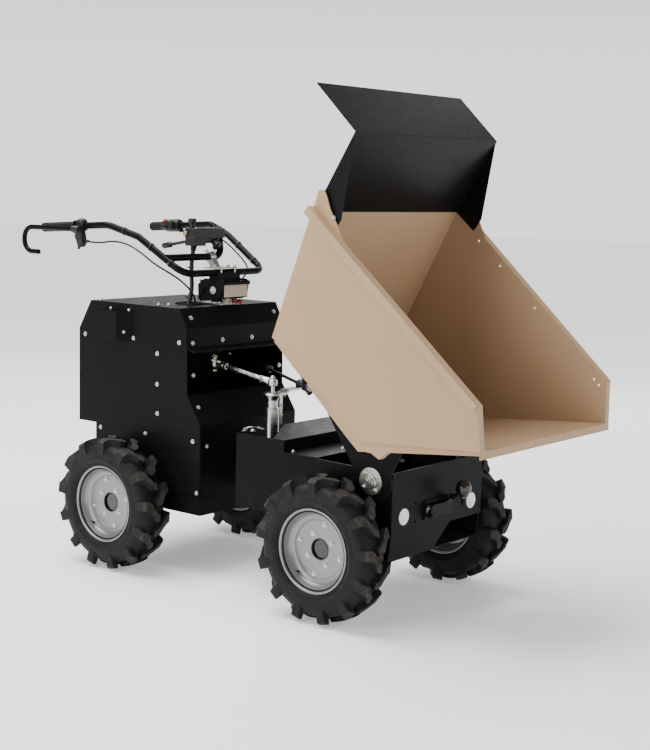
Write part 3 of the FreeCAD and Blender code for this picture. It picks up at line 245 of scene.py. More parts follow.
DUST = (0.16, 0.13, 0.10)
PAINT = {
    "black": powder_coat("black_powder_coat", (0.0042, 0.0043, 0.0046), DUST, 0.36, 0.0016, 0.03, 0.055),
    # Darker, rougher copy of the black coat: painted shade for the parts under and inside the rear body.
    "painted_shade": powder_coat("black_painted_shade", (0.002, 0.002, 0.002), DUST, 0.6, 0.001, 0.02, 0.08),
    "tan": powder_coat("tan_powder_coat", (0.375, 0.246, 0.143), (0.33, 0.23, 0.145), 0.44,
                       0.0022, 0.12, 0.25),
    "guard": powder_coat("guard_black", (0.0055, 0.0055, 0.0057), DUST, 0.34, 0.0016, 0.0),
    "tube": powder_coat("handlebar_black", (0.0032, 0.0032, 0.0034), DUST, 0.24, 0.0, 0.0, 0.06, 0.00001),
    "silver": powder_coat("rim_silver", (0.225, 0.230, 0.237), (0.165, 0.162, 0.158), 0.36,
                          0.0, 0.3, 0.5, metallic=0.5),
    "beige": powder_coat("bracket_beige", (0.47, 0.42, 0.34), (0.40, 0.36, 0.30), 0.40, 0.0008, 0.0),
    "zinc": bare_metal("zinc_plate", (0.46, 0.46, 0.42), (0.38, 0.39, 0.36), 0.32),
    "bright_zinc": bare_metal("bright_zinc", (0.56, 0.57, 0.565), (0.46, 0.47, 0.465), 0.26),
    "green_zinc": bare_metal("olive_zinc", (0.36, 0.40, 0.33), (0.46, 0.48, 0.40), 0.33),
    "turned": bare_metal("turned_steel", (0.52, 0.51, 0.47), (0.42, 0.42, 0.385), 0.24,
                         stretch=(1, 1, 30)),
    "chrome": bare_metal("hard_chrome", (0.82, 0.82, 0.83), (0.76, 0.76, 0.77), 0.12),
    "brass": bare_metal("brass_fitting", (0.50, 0.38, 0.20), (0.36, 0.28, 0.16), 0.38),
    "tyre": rubber("tyre_rubber", (0.0075, 0.0075, 0.0077), (0.013, 0.0125, 0.012), 0.55),
    "tread": rubber("tread_tops", (0.020, 0.0185, 0.0168), (0.048, 0.0435, 0.038), 0.85,
                    260.0, (0.38, 0.62), 0.0006),
    "grip": rubber("grip_rubber", (0.007, 0.007, 0.007), (0.012, 0.012, 0.012), 0.6, 900.0),
    "plastic": moulded("black_plastic", (0.006, 0.006, 0.0063), 0.38),
    "gloss": moulded("gloss_ball", (0.004, 0.004, 0.0042), 0.12, 90.0, 0.7),
    "sheath": moulded("cable_sheath", (0.005, 0.005, 0.005), 0.32),
    "red": moulded("red_button", (0.62, 0.012, 0.010), 0.3),
    "green": moulded("green_button", (0.008, 0.26, 0.10), 0.3),
    "rust_red": moulded("red_oxide", (0.16, 0.022, 0.016), 0.45),
    "label": moulded("blank_label", (0.66, 0.67, 0.68), 0.38),
}


def repaint(finish, *nodes):
    """Gives CAD nodes a finish in place of their plain one."""
    for name in nodes:
        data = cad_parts[name].data
        data.materials.clear()
        data.materials.append(PAINT[finish])


repaint("black", "rear_side_panel_left", "rear_side_panel_right", "rear_top_cover",
        "rear_front_upper_panel", "rear_front_lower_panel", "rear_step_panel", "charge_socket_cover",
        "articulation_tube", "articulation_yoke", "front_side_panel_left", "front_side_panel_right",
        "front_deck", "front_nose_plate", "front_floor", "skip_hangers")
# The belly pan, recess tray and other parts under and inside the body get the darker black as painted
# shade.
repaint("painted_shade", "rear_belly_pan", "rear_recess_tray", "articulation_carrier", "battery_pack",
        "motor_controller", "tip_cylinder")
repaint("tan", "skip_tub", "skip_side_left", "skip_side_right", "skip_rails", "skip_ram_lugs")
repaint("guard", "spill_guard", "skip_latch_lever")
repaint("tube", "handlebar_bracket", "handlebar_tube", "handlebar_strut", "hand_guard_bar",
        "steering_column", "damper_body", "damper_rod")
repaint("zinc", "column_bearing", "damper_anchor", "handlebar_mount")
repaint("bright_zinc", "tie_rod")
repaint("green_zinc", "skip_pivot_stubs")
repaint("turned", "steering_post")
repaint("chrome", "tip_ram")

# ------------------------------------------------------------ mesh tools ---

X, Y, Z = Vector((1, 0, 0)), Vector((0, 1, 0)), Vector((0, 0, 1))


def facing(place, normal, hint=None):
    """Frame at a place whose Z runs along normal and whose X is near the hint."""
    z = Vector(normal).normalized()
    hint = hint or (X if abs(z.x) < 0.8 else Y)
    x = (hint - z * hint.dot(z)).normalized()
    turn = Matrix((x, z.cross(x), z)).transposed().to_4x4()
    return Matrix.Translation(at(*place)) @ turn @ Matrix.Scale(0.001, 4)


def around(matrix, radius, angle, height):
    """Millimetre place at a radius and angle round the frame's Z."""
    spot = matrix @ Vector((radius * math.cos(angle), radius * math.sin(angle), height))
    return ((spot.x - AXLE_X) * 1000, spot.y * 1000, spot.z * 1000)


def loft(bm, rings, closed=True, cap=True, material=0):
    """Skin between rings of as many points each; closed joins each ring's ends."""
    rows = [[bm.verts.new(p) for p in ring] for ring in rings]
    count = len(rows[0])
    for low, high in zip(rows, rows[1:]):
        for i in range(count if closed else count - 1):
            j = (i + 1) % count
            bm.faces.new((low[i], low[j], high[j], high[i])).material_index = material
    if cap:
        bm.faces.new(rows[0][::-1]).material_index = material
        bm.faces.new(rows[-1]).material_index = material
    return rows


def turned(bm, frame_matrix, profile, segments=32, material=0):
    """Closed profile of (radius, height) points turned once round the frame's Z."""
    rows = []
    for k in range(segments):
        angle = 2 * math.pi * k / segments
        c, s = math.cos(angle), math.sin(angle)
        rows.append([bm.verts.new(frame_matrix @ Vector((r * c, r * s, h))) for r, h in profile])
    count = len(profile)
    for k in range(segments):
        low, high = rows[k], rows[(k + 1) % segments]
        for i in range(count):
            j = (i + 1) % count
            bm.faces.new((low[i], high[i], high[j], low[j])).material_index = material


def stem(bm, frame_matrix, profile, segments=24, sides_turn=0.0, material=0):
    """Solid of (radius, height) rings along the frame's Z, capped at both ends."""
    rings = []
    for radius, height in profile:
        rings.append([frame_matrix @ Vector((radius * math.cos(a), radius * math.sin(a), height))
                      for a in (sides_turn + 2 * math.pi * k / segments for k in range(segments))])
    loft(bm, rings, material=material)


def hose(bm, points, radius, segments=12, material=0):
    """Round tube through points in the row frame."""
    directions = [(b - a).normalized() for a, b in zip(points, points[1:])]
    middles = [(a + b).normalized() for a, b in zip(directions, directions[1:])]
    directions = [directions[0], *middles, directions[-1]]
    side = directions[0].orthogonal().normalized()
    rings = []
    for point, along in zip(points, directions):
        side = (side - along * side.dot(along)).normalized()
        other = along.cross(side)
        rings.append([point + (side * math.cos(a) + other * math.sin(a)) * radius / 1000
                      for a in (2 * math.pi * k / segments for k in range(segments))])
    loft(bm, rings, material=material)


def plate(bm, frame_matrix, outline, thickness, material=0):
    """Flat outline in the frame's X-Y plane, drawn up along its Z."""
    rings = [[frame_matrix @ Vector((x, y, h)) for x, y in outline] for h in (0, thickness)]
    loft(bm, rings, material=material)


def slab(bm, low, high):
    """Box between two corners, in millimetres."""
    length, width, height = (b - a for a, b in zip(low, high))
    plate(bm, facing(low, Z, X), [(0, 0), (length, 0), (length, width), (0, width)], height)


def rounded(width, height, radius, steps=4):
    """Rounded rectangle about the middle."""
    points = []
    for cx, cy, start in ((1, 1, 0), (-1, 1, 90), (-1, -1, 180), (1, -1, 270)):
        for k in range(steps + 1):
            a = math.radians(start + 90 * k / steps)
            points.append((cx * (width / 2 - radius) + radius * math.cos(a),
                           cy * (height / 2 - radius) + radius * math.sin(a)))
    return points


HEX_TURN = 0.35  # radians, so that no bolt head stands square to its panel


def bolt(bm, place, normal, size=6.5, washer=9.0, material=0):
    """Hex head with a chamfered crown and a stud end, on a washer."""
    matrix = facing(place, normal)
    stem(bm, matrix, [(washer, 0), (washer, 1.2), (washer - 0.4, 1.6)], 20, material=material)
    head = 0.72 * size
    stem(bm, matrix, [(size, 1.4), (size, 1.4 + head * 0.8), (size * 0.84, 1.4 + head)], 6,
         HEX_TURN, material)
    stem(bm, matrix, [(size * 0.55, 1.3 + head), (size * 0.5, 2.1 + head), (size * 0.3, 2.6 + head)], 12,
         material=material)


BEVEL_ANGLE = math.radians(38)


def piece(name, bm, body, finishes, sharp=32, bevel=0.0, replaces=()):
    """Makes an object of the mesh and lets it ride on a body; bevel is in millimetres."""
    bmesh.ops.recalc_face_normals(bm, faces=bm.faces)
    mesh = bpy.data.meshes.new(name)
    bm.to_mesh(mesh)
    bm.free()
    for finish in finishes:
        mesh.materials.append(PAINT[finish])
    mesh.shade_smooth()
    mesh.set_sharp_from_angle(angle=math.radians(sharp))
    obj = bpy.data.objects.new(name, mesh)
    bpy.context.collection.objects.link(obj)
    if bevel:
        modifier = obj.modifiers.new("edges", "BEVEL")
        modifier.width = bevel / 1000
        modifier.segments = 2
        modifier.limit_method = "ANGLE"
        modifier.angle_limit = BEVEL_ANGLE
        modifier.harden_normals = True
    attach(obj, body)
    if replaces:
        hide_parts(*replaces)


# ---------------------------------------------------------------- cables ---

CABLE_DIAMETER = 6.0
HARNESS_DIAMETER = 14.0
BRAKE_CABLE = [(-1046, -246, 1008), (-985, -243, 1003), (-925, -238, 1014), (-868, -228, 1006),
               (-815, -219, 980), (-768, -210, 948), (-735, -185, 925), (-722, -150, 903),
               (-722, -118, 882), (-726, -88, 862), (-733, -66, 838), (-738, -56, 808), (-740, -50, 785)]
SWITCH_CABLE = [(-1100, 238, 1036), (-1045, 240, 1030), (-985, 238, 1028), (-925, 231, 1023),
                (-868, 222, 1004), (-815, 213, 974), (-768, 205, 944), (-735, 185, 921),
                (-722, 150, 900), (-712, 116, 884), (-704, 84, 874), (-700, 54, 870)]
CONTROL_HARNESS = [(-760, -46, 1004), (-763, -48, 972), (-762, -54, 938), (-757, -58, 905),
                   (-750, -62, 873), (-749, -70, 842), (-752, -78, 812), (-756, -84, 785)]


def cable(name, points, diameter):
    """Cable curve along its route, in place of the CAD one."""
    data = bpy.data.curves.new(name, "CURVE")
    data.dimensions = "3D"
    data.bevel_depth = diameter / 2000
    data.bevel_resolution = 4
    data.resolution_u = 10
    data.use_fill_caps = True
    spline = data.splines.new("NURBS")
    spline.points.add(len(points) - 1)
    for point, place in zip(spline.points, points):
        point.co = (*at(*place), 1.0)
    spline.order_u = 3
    spline.use_endpoint_u = True
    data.materials.append(PAINT["sheath"])
    obj = bpy.data.objects.new(name + "_line", data)
    bpy.context.collection.objects.link(obj)
    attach(obj, "handlebar")
    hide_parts(name)


cable("brake_cable", BRAKE_CABLE, CABLE_DIAMETER)
cable("switch_cable", SWITCH_CABLE, CABLE_DIAMETER)
cable("control_harness", CONTROL_HARNESS, HARNESS_DIAMETER)

# ---------------------------------------------------------------- wheels ---

LUGS = 13
TREAD_STATIONS = 6  # how many of the spans between stations show a dusty top
LUG_FOOT_GROWTH = 1.22
TYRE_SEGMENTS = 104
# moulded rings on the side wall: (inner radius, outer radius, y, height)
SIDE_RINGS = [(127.5, 129.0, 51.6, 0.9), (146.5, 147.6, 54.6, 0.7)]
TYRE_SIDE = [(108, 41.5), (113, 42.4), (119.4, 42.6), (122, 46), (125, 50), (131, 53.2), (138, 55.0),
             (139, 55.9), (141.5, 55.9), (143, 55.2), (152, 54.9), (160, 53.6), (168, 50.8), (176, 45.5),
             (182, 38), (185.5, 27), (187.5, 14), (188, 5)]
# one lug from past the middle of the tread to the foot of its buttress:
# (top y, top radius, base y, base radius, turn in degrees, half length in mm)
LUG_STATIONS = [(-7, 203.6, -10, 184.0, 12.8, 10.0), (4, 205.5, 3, 184.5, 12.2, 13.5),
                (17, 206.0, 16, 184.0, 9.2, 16.0), (27, 205.7, 27, 183.0, 3.8, 16.5),
                (38, 204.6, 37, 180.0, 1.2, 15.5), (50, 201.0, 43, 176.0, 0.6, 14.5),
                (55.8, 193.0, 47, 171.0, 0.4, 13.5), (56.0, 178.0, 49, 168.0, 0.4, 12.5),
                (55.6, 160.0, 53, 156.5, 0.4, 11.0)]


def wheel_frame(axle_x, side):
    """Z outwards along the axle, X up; a turn about Z is forwards on either side."""
    return facing((axle_x, side * WHEEL_Y, WHEEL_Z), Y * side, Z)


def tread_lug(bm, matrix, turn, mirror, roll):
    """One bar lug: kinked in plan, with a buttress down the side wall."""
    rings = []
    for top_y, top_r, base_y, base_r, lead, half in LUG_STATIONS:
        ring = []
        for y, r, grow, sign in ((base_y, base_r, LUG_FOOT_GROWTH, -1), (top_y, top_r, 1.0, -1),
                                 (top_y, top_r, 1.0, 1), (base_y, base_r, LUG_FOOT_GROWTH, 1)):
            a = turn + roll * math.radians(lead) + sign * half * grow / r
            ring.append(matrix @ Vector((r * math.cos(a), r * math.sin(a), mirror * y)))
        rings.append(ring)
    rows = loft(bm, rings)
    for low, high in list(zip(rows, rows[1:]))[:TREAD_STATIONS]:
        face = bm.faces.get((low[1], low[2], high[2], high[1]))
        face.material_index = 1


def make_tyre(name, body, axle_x, side):
    """Carcass with two staggered rows of lugs."""
    bm = bmesh.new()
    matrix = wheel_frame(axle_x, side)
    profile = TYRE_SIDE + [(r, -y) for r, y in TYRE_SIDE[::-1]]
    turned(bm, matrix, profile, TYRE_SEGMENTS)
    for inner, outer, y, height in SIDE_RINGS:
        for mirror in (1, -1):
            turned(bm, matrix, [(inner, mirror * y), (outer, mirror * (y + 0.8)),
                                (outer, mirror * (y + 0.8 + height)), (inner, mirror * (y + height))],
                   TYRE_SEGMENTS)
    for k in range(LUGS):
        step = 2 * math.pi * k / LUGS
        tread_lug(bm, matrix, step, 1, side)
        tread_lug(bm, matrix, step + math.pi / LUGS, -1, side)
    piece("tyre_" + name, bm, body, ["tyre", "tread"], 28, 0.9, replaces=["tyre_" + name])


RIM_PROFILE = [(119.0, 43.6), (119.2, 45.6), (117.6, 46.4), (115.2, 46.3), (113.6, 45.0), (112.4, 42.2),
               (111.6, 40.0), (110.0, 39.6), (108.6, 38.8), (107.4, 36.0), (106.2, 30.0), (103.2, 22.5),
               (98.0, 16.0), (91.6, 12.6), (86.4, 11.6), (84.6, 12.6), (82.6, 12.6), (80.8, 10.6),
               (60.0, 10.5), (30.0, 10.5), (30.0, 7.4), (90.0, 7.4),
               (96.0, 6.6), (99.0, 2.0), (101.6, -12.0), (103.6, -28.0), (106.8, -37.0), (110.6, -42.0),
               (114.6, -45.6), (118.6, -46.4), (119.0, -43.6), (114.8, -43.0), (110.6, -39.6),
               (107.4, -30.0), (107.4, 30.0), (110.2, 39.0), (114.6, 43.0)]
HUB_PROFILE = [(31.0, 8.0), (31.0, 11.8), (30.2, 12.8), (28.0, 12.8), (27.2, 12.0), (26.8, -2.0),
               (26.0, -8.0), (21.0, -9.0), (17.0, -9.0), (16.2, -4.0), (15.0, -2.4), (0.4, -1.6),
               (0.4, -16.0), (31.0, -16.0)]


VALVE_ANGLE = 2.4
VALVE_LEAN = -0.5
WHEEL_BOLT_RINGS = [(47.5, -30), (74.0, 13)]  # (radius, first bolt's degrees), four bolts each
REAR_WHEEL_TURN = math.radians(28)


def make_rim(name, body, axle_x, side, spin):
    """Dished rim with its valve, the recessed hub, and two rings of bolts turned by spin."""
    matrix = wheel_frame(axle_x, side)
    bm = bmesh.new()
    turned(bm, matrix, RIM_PROFILE, 96)
    valve = (matrix @ Matrix.Rotation(VALVE_ANGLE, 4, "Z") @ Matrix.Translation((101, 0, 18))
             @ Matrix.Rotation(VALVE_LEAN, 4, "Y"))
    stem(bm, valve, [(3.6, 0), (3.4, 5), (2.7, 7), (2.7, 14), (3.1, 15), (3.1, 20), (2.2, 21)], 14,
         material=1)
    piece("rim_" + name, bm, body, ["silver", "plastic"], 40, 0.0, replaces=["rim_" + name])
    bm = bmesh.new()
    turned(bm, matrix, HUB_PROFILE, 64)
    turned(bm, matrix, [(24.4, -8.6), (25.8, -8.6), (25.8, -6.6), (24.4, -6.6)], 48, material=1)
    stem(bm, matrix, [(6.0, -2.0), (6.0, 2.0), (4.6, 2.8)], 6)
    stem(bm, matrix @ Matrix.Translation((0, 0, -46)), [(27, -2), (27, 44), (25, 52)], 40)
    piece("hub_" + name, bm, body, ["gloss", "bright_zinc"], 35, 0.4)
    bm = bmesh.new()
    for radius, first in WHEEL_BOLT_RINGS:
        for k in range(4):
            angle = math.radians(first + 90 * k) * side + spin
            bolt(bm, around(matrix, radius, angle, 10.5), Y * side, 6.6, 8.6)
    piece("wheel_bolts_" + name, bm, body, ["bright_zinc"], 30, 0.3)


STUB_PROFILE = [(44, 0.6), (44, 7), (42, 8.6), (30, 9.4), (29, 12), (29, 24), (26, 27), (17, 28), (17, 39)]


def make_stubs(end, body, axle_x):
    """Flanged motor stubs between the side plates and the wheel hubs."""
    bm = bmesh.new()
    for side in (1, -1):
        matrix = facing((axle_x, side * SIDE_Y, WHEEL_Z), Y * side, Z)
        stem(bm, matrix, STUB_PROFILE, 44)
        for k in range(6):
            angle = math.radians(20 + 60 * k)
            bolt(bm, around(matrix, 37, angle, 8.2), Y * side, 4.6, 6.0, material=1)
    name = end + "_axle_stubs"
    piece(name + "_turned", bm, body, ["tube", "bright_zinc"], 32, 0.4, replaces=[name])


make_stubs("front", "front_frame", 0.0)
make_stubs("rear", "rear_chassis", REAR_AXLE)

for end, axle_x, spin in (("front", 0.0, 0.0), ("rear", REAR_AXLE, REAR_WHEEL_TURN)):
    for name, side in (("left", 1), ("right", -1)):
        label = "%s_%s" % (end, name)
        make_tyre(label, "wheel_" + label, axle_x, side)
        make_rim(label, "wheel_" + label, axle_x, side, spin)

# ----------------------------------------------------------------- body ----

PANEL_BOLT = (5.2, 7.4)  # head and washer radius
BODY_SIDE_BOLTS = [(-1069, 709), (-846, 714), (-645.5, 716), (-740, 674), (-739, 579), (-737.5, 488),
                   (-995, 414), (-790, 418), (-584, 419.5), (-566, 262)]
DECK_BOLTS = [(-785, -173), (-759, -155), (-1023, -198), (-830, 200), (-789, 200), (-1023, 198),
              (-668, 40), (-668, 78)]
BEARING_BOLTS = [(-668, 22), (-668, -22), (-732, 22)]
BEARING_FLANGE = 5
# place on the left and direction of the bolts on the body's front faces
VISOR_BOLTS = [((-628, 191, 791), (0.88, 0, 0.48)), ((-611, 200, 716), (1, 0, 0)),
               ((-611, 68, 718), (1, 0, 0)), ((-608, 199, 618), (1, 0, 0)),
               ((-584, 200, 522), (0.83, 0, 0.56)), ((-551, 194, 406), (1, 0, 0))]


def body_bolts():
    """Panel bolts of the rear body, and the charging cover's lock."""
    bm = bmesh.new()
    for x, z in BODY_SIDE_BOLTS:
        for sign in (1, -1):
            bolt(bm, (x, sign * SIDE_Y, z), Y * sign, *PANEL_BOLT)
    for x, y in DECK_BOLTS:
        bolt(bm, (x, y, DECK_Z), Z, *PANEL_BOLT)
    for x, y in BEARING_BOLTS:
        bolt(bm, (x, y, DECK_Z + BEARING_FLANGE), Z, *PANEL_BOLT)
    for (x, y, z), normal in VISOR_BOLTS:
        for sign in (1, -1):
            bolt(bm, (x, sign * y, z), Vector(normal), *PANEL_BOLT)
    bolt(bm, (-869, -242, 732), Vector((0.77, -0.63, 0)), 3.4, 4.8)
    for y in (-196, 196):
        for z in (700, 450):
            bolt(bm, (REAR_X, y, z), -X, *PANEL_BOLT)
    piece("body_bolts", bm, "rear_chassis", ["bright_zinc"], 30, 0.25)


def charge_cover_details():
    """Mounting flange above the socket cover, with its two small bolts."""
    bm = bmesh.new()
    slab(bm, (-962, -SIDE_Y - 1.8, 790), (-850, -SIDE_Y + 0.5, 807))
    for x in (-948, -866):
        bolt(bm, (x, -SIDE_Y - 1.8, 800), -Y, 3.6, 5.2, material=1)
    piece("charge_cover_flange", bm, "rear_chassis", ["black", "bright_zinc"], 30, 0.4)


def cable_grommet():
    """Rubber edge round the deck's cable opening."""
    bm = bmesh.new()
    matrix = facing((-747, -67, DECK_Z), Z, X)
    inner, outer = rounded(75, 67, 12), rounded(85, 77, 16)
    section = ((inner, 0.5), (outer, 0.5), (outer, 3.0), (rounded(83, 75, 15), 4.2),
               (rounded(77, 69, 13), 4.8), (inner, 4.2), (inner, 0.5))
    rings = [[matrix @ Vector((x, y, h)) for x, y in outline] for outline, h in section]
    loft(bm, rings, cap=False)
    bmesh.ops.remove_doubles(bm, verts=bm.verts, dist=1e-6)
    piece("cable_grommet", bm, "rear_chassis", ["grip"], 35)


TIE_ROD_REAR, TIE_ROD_FRONT = (-650, -61, 643), (-430, -34, 599)


def recess_details():
    """Swivel fitting in the steering recess, at the pitman arm."""
    bm = bmesh.new()
    x, y, z = TIE_ROD_REAR
    bolt(bm, (x, y, z + 17), Z, 7.5, 10.5)
    bolt(bm, (x, y, z - 22), -Z, 7.0, 9.0)
    stem(bm, facing((x, y, z - 6), Z), [(12, 0), (15.5, 3), (15.5, 9), (12, 12)], 24)
    piece("pitman_ball_end", bm, "handlebar", ["brass"], 30, 0.3)


body_bolts()
charge_cover_details()
cable_grommet()
recess_details()

# ----------------------------------------------------------- front frame ---


WELL_STEP_Z = 435.6
FRAME_DECK_Z = 470


def frame_bolts():
    """Bolts on the front frame's deck and its step."""
    bm = bmesh.new()
    for sign in (1, -1):
        bolt(bm, (-205, sign * 198, WELL_STEP_Z), Z, 4.6, 6.8)
    bolt(bm, (-138, -50, WELL_STEP_Z), Z, 5.2, 8.0)
    bolt(bm, (-388, -168, FRAME_DECK_Z), Z, 6.4, 9.0)
    piece("frame_bolts", bm, "front_frame", ["bright_zinc"], 30, 0.25)


def deck_clip():
    """Bent strap held by the deck bolt beside the steering well."""
    bm = bmesh.new()
    rings = []
    for x, y, z in ((-403, -196, 471), (-400, -186, 480), (-392, -174, 483), (-378, -160, 482),
                    (-366, -150, 476)):
        rings.append([at(x, y - 5, z), at(x + 8, y + 3, z), at(x + 8, y + 3, z + 1.6),
                      at(x, y - 5, z + 1.6)])
    loft(bm, rings)
    piece("deck_clip", bm, "front_frame", ["zinc"], 30, 0.3)


def blank_labels():
    """Two plain discs with a dark rim."""
    bm = bmesh.new()
    for y, z in ((-166, 300), (168, 295)):
        matrix = facing((NOSE_X, y, z), X, Y)
        stem(bm, matrix, [(25, 0), (25, 0.5)], 48, material=1)
        stem(bm, matrix, [(22.8, 0.5), (22.8, 0.75)], 48)
    piece("nose_labels", bm, "front_frame", ["label", "plastic"], 40)


LATCH_BLADE = [(-66, -9), (-58, -15), (-44, -14), (10, -6), (34, 2), (47, 18), (49, 30), (37, 31),
               (28, 20), (0, 12), (-50, 14), (-64, 8)]
BALL_RADIUS = 22.6
BALL_CENTRE = 24


def latch_details():
    """The skip latch's pivot bolt, blade and ball, and the small knob behind the nose."""
    bm = bmesh.new()
    bolt(bm, (NOSE_X + 6, -52, 303), X, 9.0, 14.0, material=1)
    matrix = facing((227, 42, 334), Z, X)
    angles = [math.radians(degrees) for degrees in range(-66, 90, 12)]
    ball = [(BALL_RADIUS * math.cos(a), BALL_CENTRE + BALL_RADIUS * math.sin(a)) for a in angles]
    stem(bm, matrix, [(7.5, -6), (9.5, -5), (9.5, 1), (8.5, 2), *ball, (0.6, 46.6)], 40)
    stem(bm, matrix, [(6.2, -24), (6.2, 4)], 20, material=2)
    plate(bm, facing((NOSE_X + 16, 0, 306), X, Y), LATCH_BLADE, 6, material=2)
    piece("latch_knob", bm, "front_frame", ["gloss", "bright_zinc", "guard"], 40)
    bm = bmesh.new()
    profile = [(9, 0), (9, 10), (13, 12), (14.5, 18), (14.5, 26), (12, 30), (4, 31)]
    stem(bm, facing((150, 200, 402), Z, X), profile, 28)
    piece("nose_knob", bm, "front_frame", ["plastic"], 35)


PIVOT_X, PIVOT_Z = 108, 401
PIVOT_FACE_Y = 240


def pivot_details():
    """Cap, nut and four bolts on the flange of each skip pivot."""
    bm = bmesh.new()
    for sign in (1, -1):
        matrix = facing((PIVOT_X, sign * PIVOT_FACE_Y, PIVOT_Z), Y * sign, X)
        stem(bm, matrix, [(19.5, 0), (19.5, 2.2), (17.5, 3.6)], 36, material=1)
        stem(bm, matrix, [(13.4, 3.4), (13.4, 7.0), (12.0, 8.2), (8.6, 8.2)], 32, material=1)
        stem(bm, matrix, [(6.4, 7.2), (6.4, 11.8), (5.2, 13.0)], 6)
        for k in range(4):
            a = math.radians(38 + 90 * k)
            place = (PIVOT_X + 27.5 * math.cos(a), sign * PIVOT_FACE_Y, PIVOT_Z + 27.5 * math.sin(a))
            bolt(bm, place, Y * sign, 5.4, 7.2)
    piece("pivot_bolts", bm, "skip", ["bright_zinc", "green_zinc"], 30, 0.3)


def post_details():
    """Steering post: stepped sleeve, dished plate, foot, side strap and top nut."""
    x, y, _ = TIE_ROD_FRONT
    bm = bmesh.new()
    matrix = facing((x, y, 0), Z, X)
    for profile, segments in (
            ([(20.2, 516), (21.6, 517), (21.6, 521), (17.6, 522), (17.2, 519), (20.0, 518)], 36),
            ([(17.3, 545), (19.5, 551), (24.0, 559.6), (17.3, 559.6)], 36),
            ([(27.0, 559.8), (28.2, 561.5), (28.2, 565.5), (26.5, 567.4), (16, 567.4), (16, 560)], 44),
            ([(20.1, 476.5), (20.6, 477), (20.6, 478.4), (20.1, 479)], 36)):
        turned(bm, matrix, profile, segments)
    piece("post_collars", bm, "front_frame", ["turned"], 30, 0.3)
    bm = bmesh.new()
    foot = [(20.0, 418.5), (31, 418.5), (31, 424), (28, 428), (21.5, 430), (20.0, 430)]
    turned(bm, matrix, foot, 40)
    piece("post_foot", bm, "front_frame", ["tube"], 30, 0.4)
    bm = bmesh.new()
    section = ((-1.2, -6), (1.4, -6), (1.4, 6), (-1.2, 6))
    loft(bm, [[at(x + 20 + dx, y + 17 + dy, z) for dx, dy in section] for z in (423, 560)])
    for z in (500, 530):
        bolt(bm, (x + 21.4, y + 17, z), X, 3.2, 4.6)
    bolt(bm, (x, y, 614), Z, 6.5, 9.5)
    piece("post_strap", bm, "front_frame", ["bright_zinc"], 30, 0.3)


frame_bolts()
deck_clip()
blank_labels()
latch_details()
pivot_details()
post_details()

# ------------------------------------------------------- rods and damper ---


def along(start, end, distance):
    """Millimetre place at a distance from start towards end, and the direction."""
    a, b = Vector(start), Vector(end)
    direction = (b - a).normalized()
    return tuple(a + direction * distance), direction


def tie_rod_details():
    """Threaded sockets, lock nuts and ball joints at both ends of a hexagonal rod."""
    rear, front = TIE_ROD_REAR, TIE_ROD_FRONT
    bm = bmesh.new()
    reach = (Vector(front) - Vector(rear)).length
    for start, end in ((rear, front), (front, rear)):
        for distance, profile, segments in (
                (13, [(9.5, 0), (10.5, 3), (10.5, 24), (9.8, 26)], 24),
                (39, [(10.4, 0), (11.6, 1.2), (11.6, 8.2), (10.4, 9.4)], 6),
                (48.6, [(5.2, 0), (5.2, 14)], 20)):
            place, direction = along(start, end, distance)
            stem(bm, facing(place, direction), profile, segments)
    place, direction = along(rear, front, 62)
    stem(bm, facing(place, direction), [(8.4, 0), (8.6, 1), (8.6, reach - 125), (8.4, reach - 124)], 6)
    for x, y, z in (rear, front):
        stem(bm, facing((x, y, z - 9.5), Z), [(11, 0), (14.4, 3), (15.4, 9.5), (14.4, 16), (11, 19)], 32)
    piece("tie_rod_ends", bm, "tie_rod", ["bright_zinc"], 30, 0.3)


DAMPER_REAR, DAMPER_FRONT = (-740, 98, 666), (-430, 106, 579)
KNUCKLE_TAIL = (-418, 133, 554)


def damper_details():
    """The damper's rod seal, and the knuckle and tail at its front end."""
    bm = bmesh.new()
    place, direction = along(DAMPER_FRONT, DAMPER_REAR, -17)
    stem(bm, facing(place, direction), [(11.0, 0), (15.5, 2), (15.5, 31), (12.0, 35)], 8)
    place, direction = along(DAMPER_REAR, DAMPER_FRONT, 186)
    stem(bm, facing(place, direction), [(11.4, -6), (12.4, -4), (12.4, 3), (9.0, 5)], 28, material=1)
    place, direction = along(DAMPER_FRONT, KNUCKLE_TAIL, 6)
    stem(bm, facing(place, direction), [(10.2, 0), (10.2, 27)], 32, material=2)
    place, direction = along(DAMPER_FRONT, KNUCKLE_TAIL, 33)
    cap = [(11.4, 0), (11.6, 1), (11.6, 7), (10.6, 8.4), (7.0, 8.4), (6.6, 7.2)]
    stem(bm, facing(place, direction), cap, 32)
    piece("damper_knuckle", bm, "damper_rod", ["plastic", "plastic", "chrome"], 30, 0.4)


tie_rod_details()
damper_details()

# ------------------------------------------------------------- handlebar ---

RIGHT, LEFT = -1, 1
GRIP_END, UPPER_BEND, MIDDLE_BEND = (-1244, 244, 1045), (-952, 232, 1062), (-845, 205, 1029)
CROSS_END = (-668, 184, 922)


def arm_place(side, distance, first=GRIP_END, second=UPPER_BEND):
    """Place and direction on one arm, at a distance from its first point."""
    start, end = ((x, side * y, z) for x, y, z in (first, second))
    return along(start, end, distance)


RIB_PITCH = 5.6


def arm_grip(side, length):
    """Ribbed rubber grip with a rounded end and a collar."""
    bm = bmesh.new()
    place, direction = arm_place(side, -4)
    profile = [(7.0, 0.0), (11.5, 0.4), (14.2, 2.2), (15.2, 5.5)]
    height = 9.0
    while height < length - 12:
        profile += [(15.2, height), (14.3, height + 0.9), (14.3, height + 2.3), (15.2, height + 3.2)]
        height += RIB_PITCH
    profile += [(15.4, length - 10), (18.6, length - 8), (19.2, length - 5), (18.6, length - 1),
                (14.0, length)]
    stem(bm, facing(place, direction), profile, 32)
    return bm


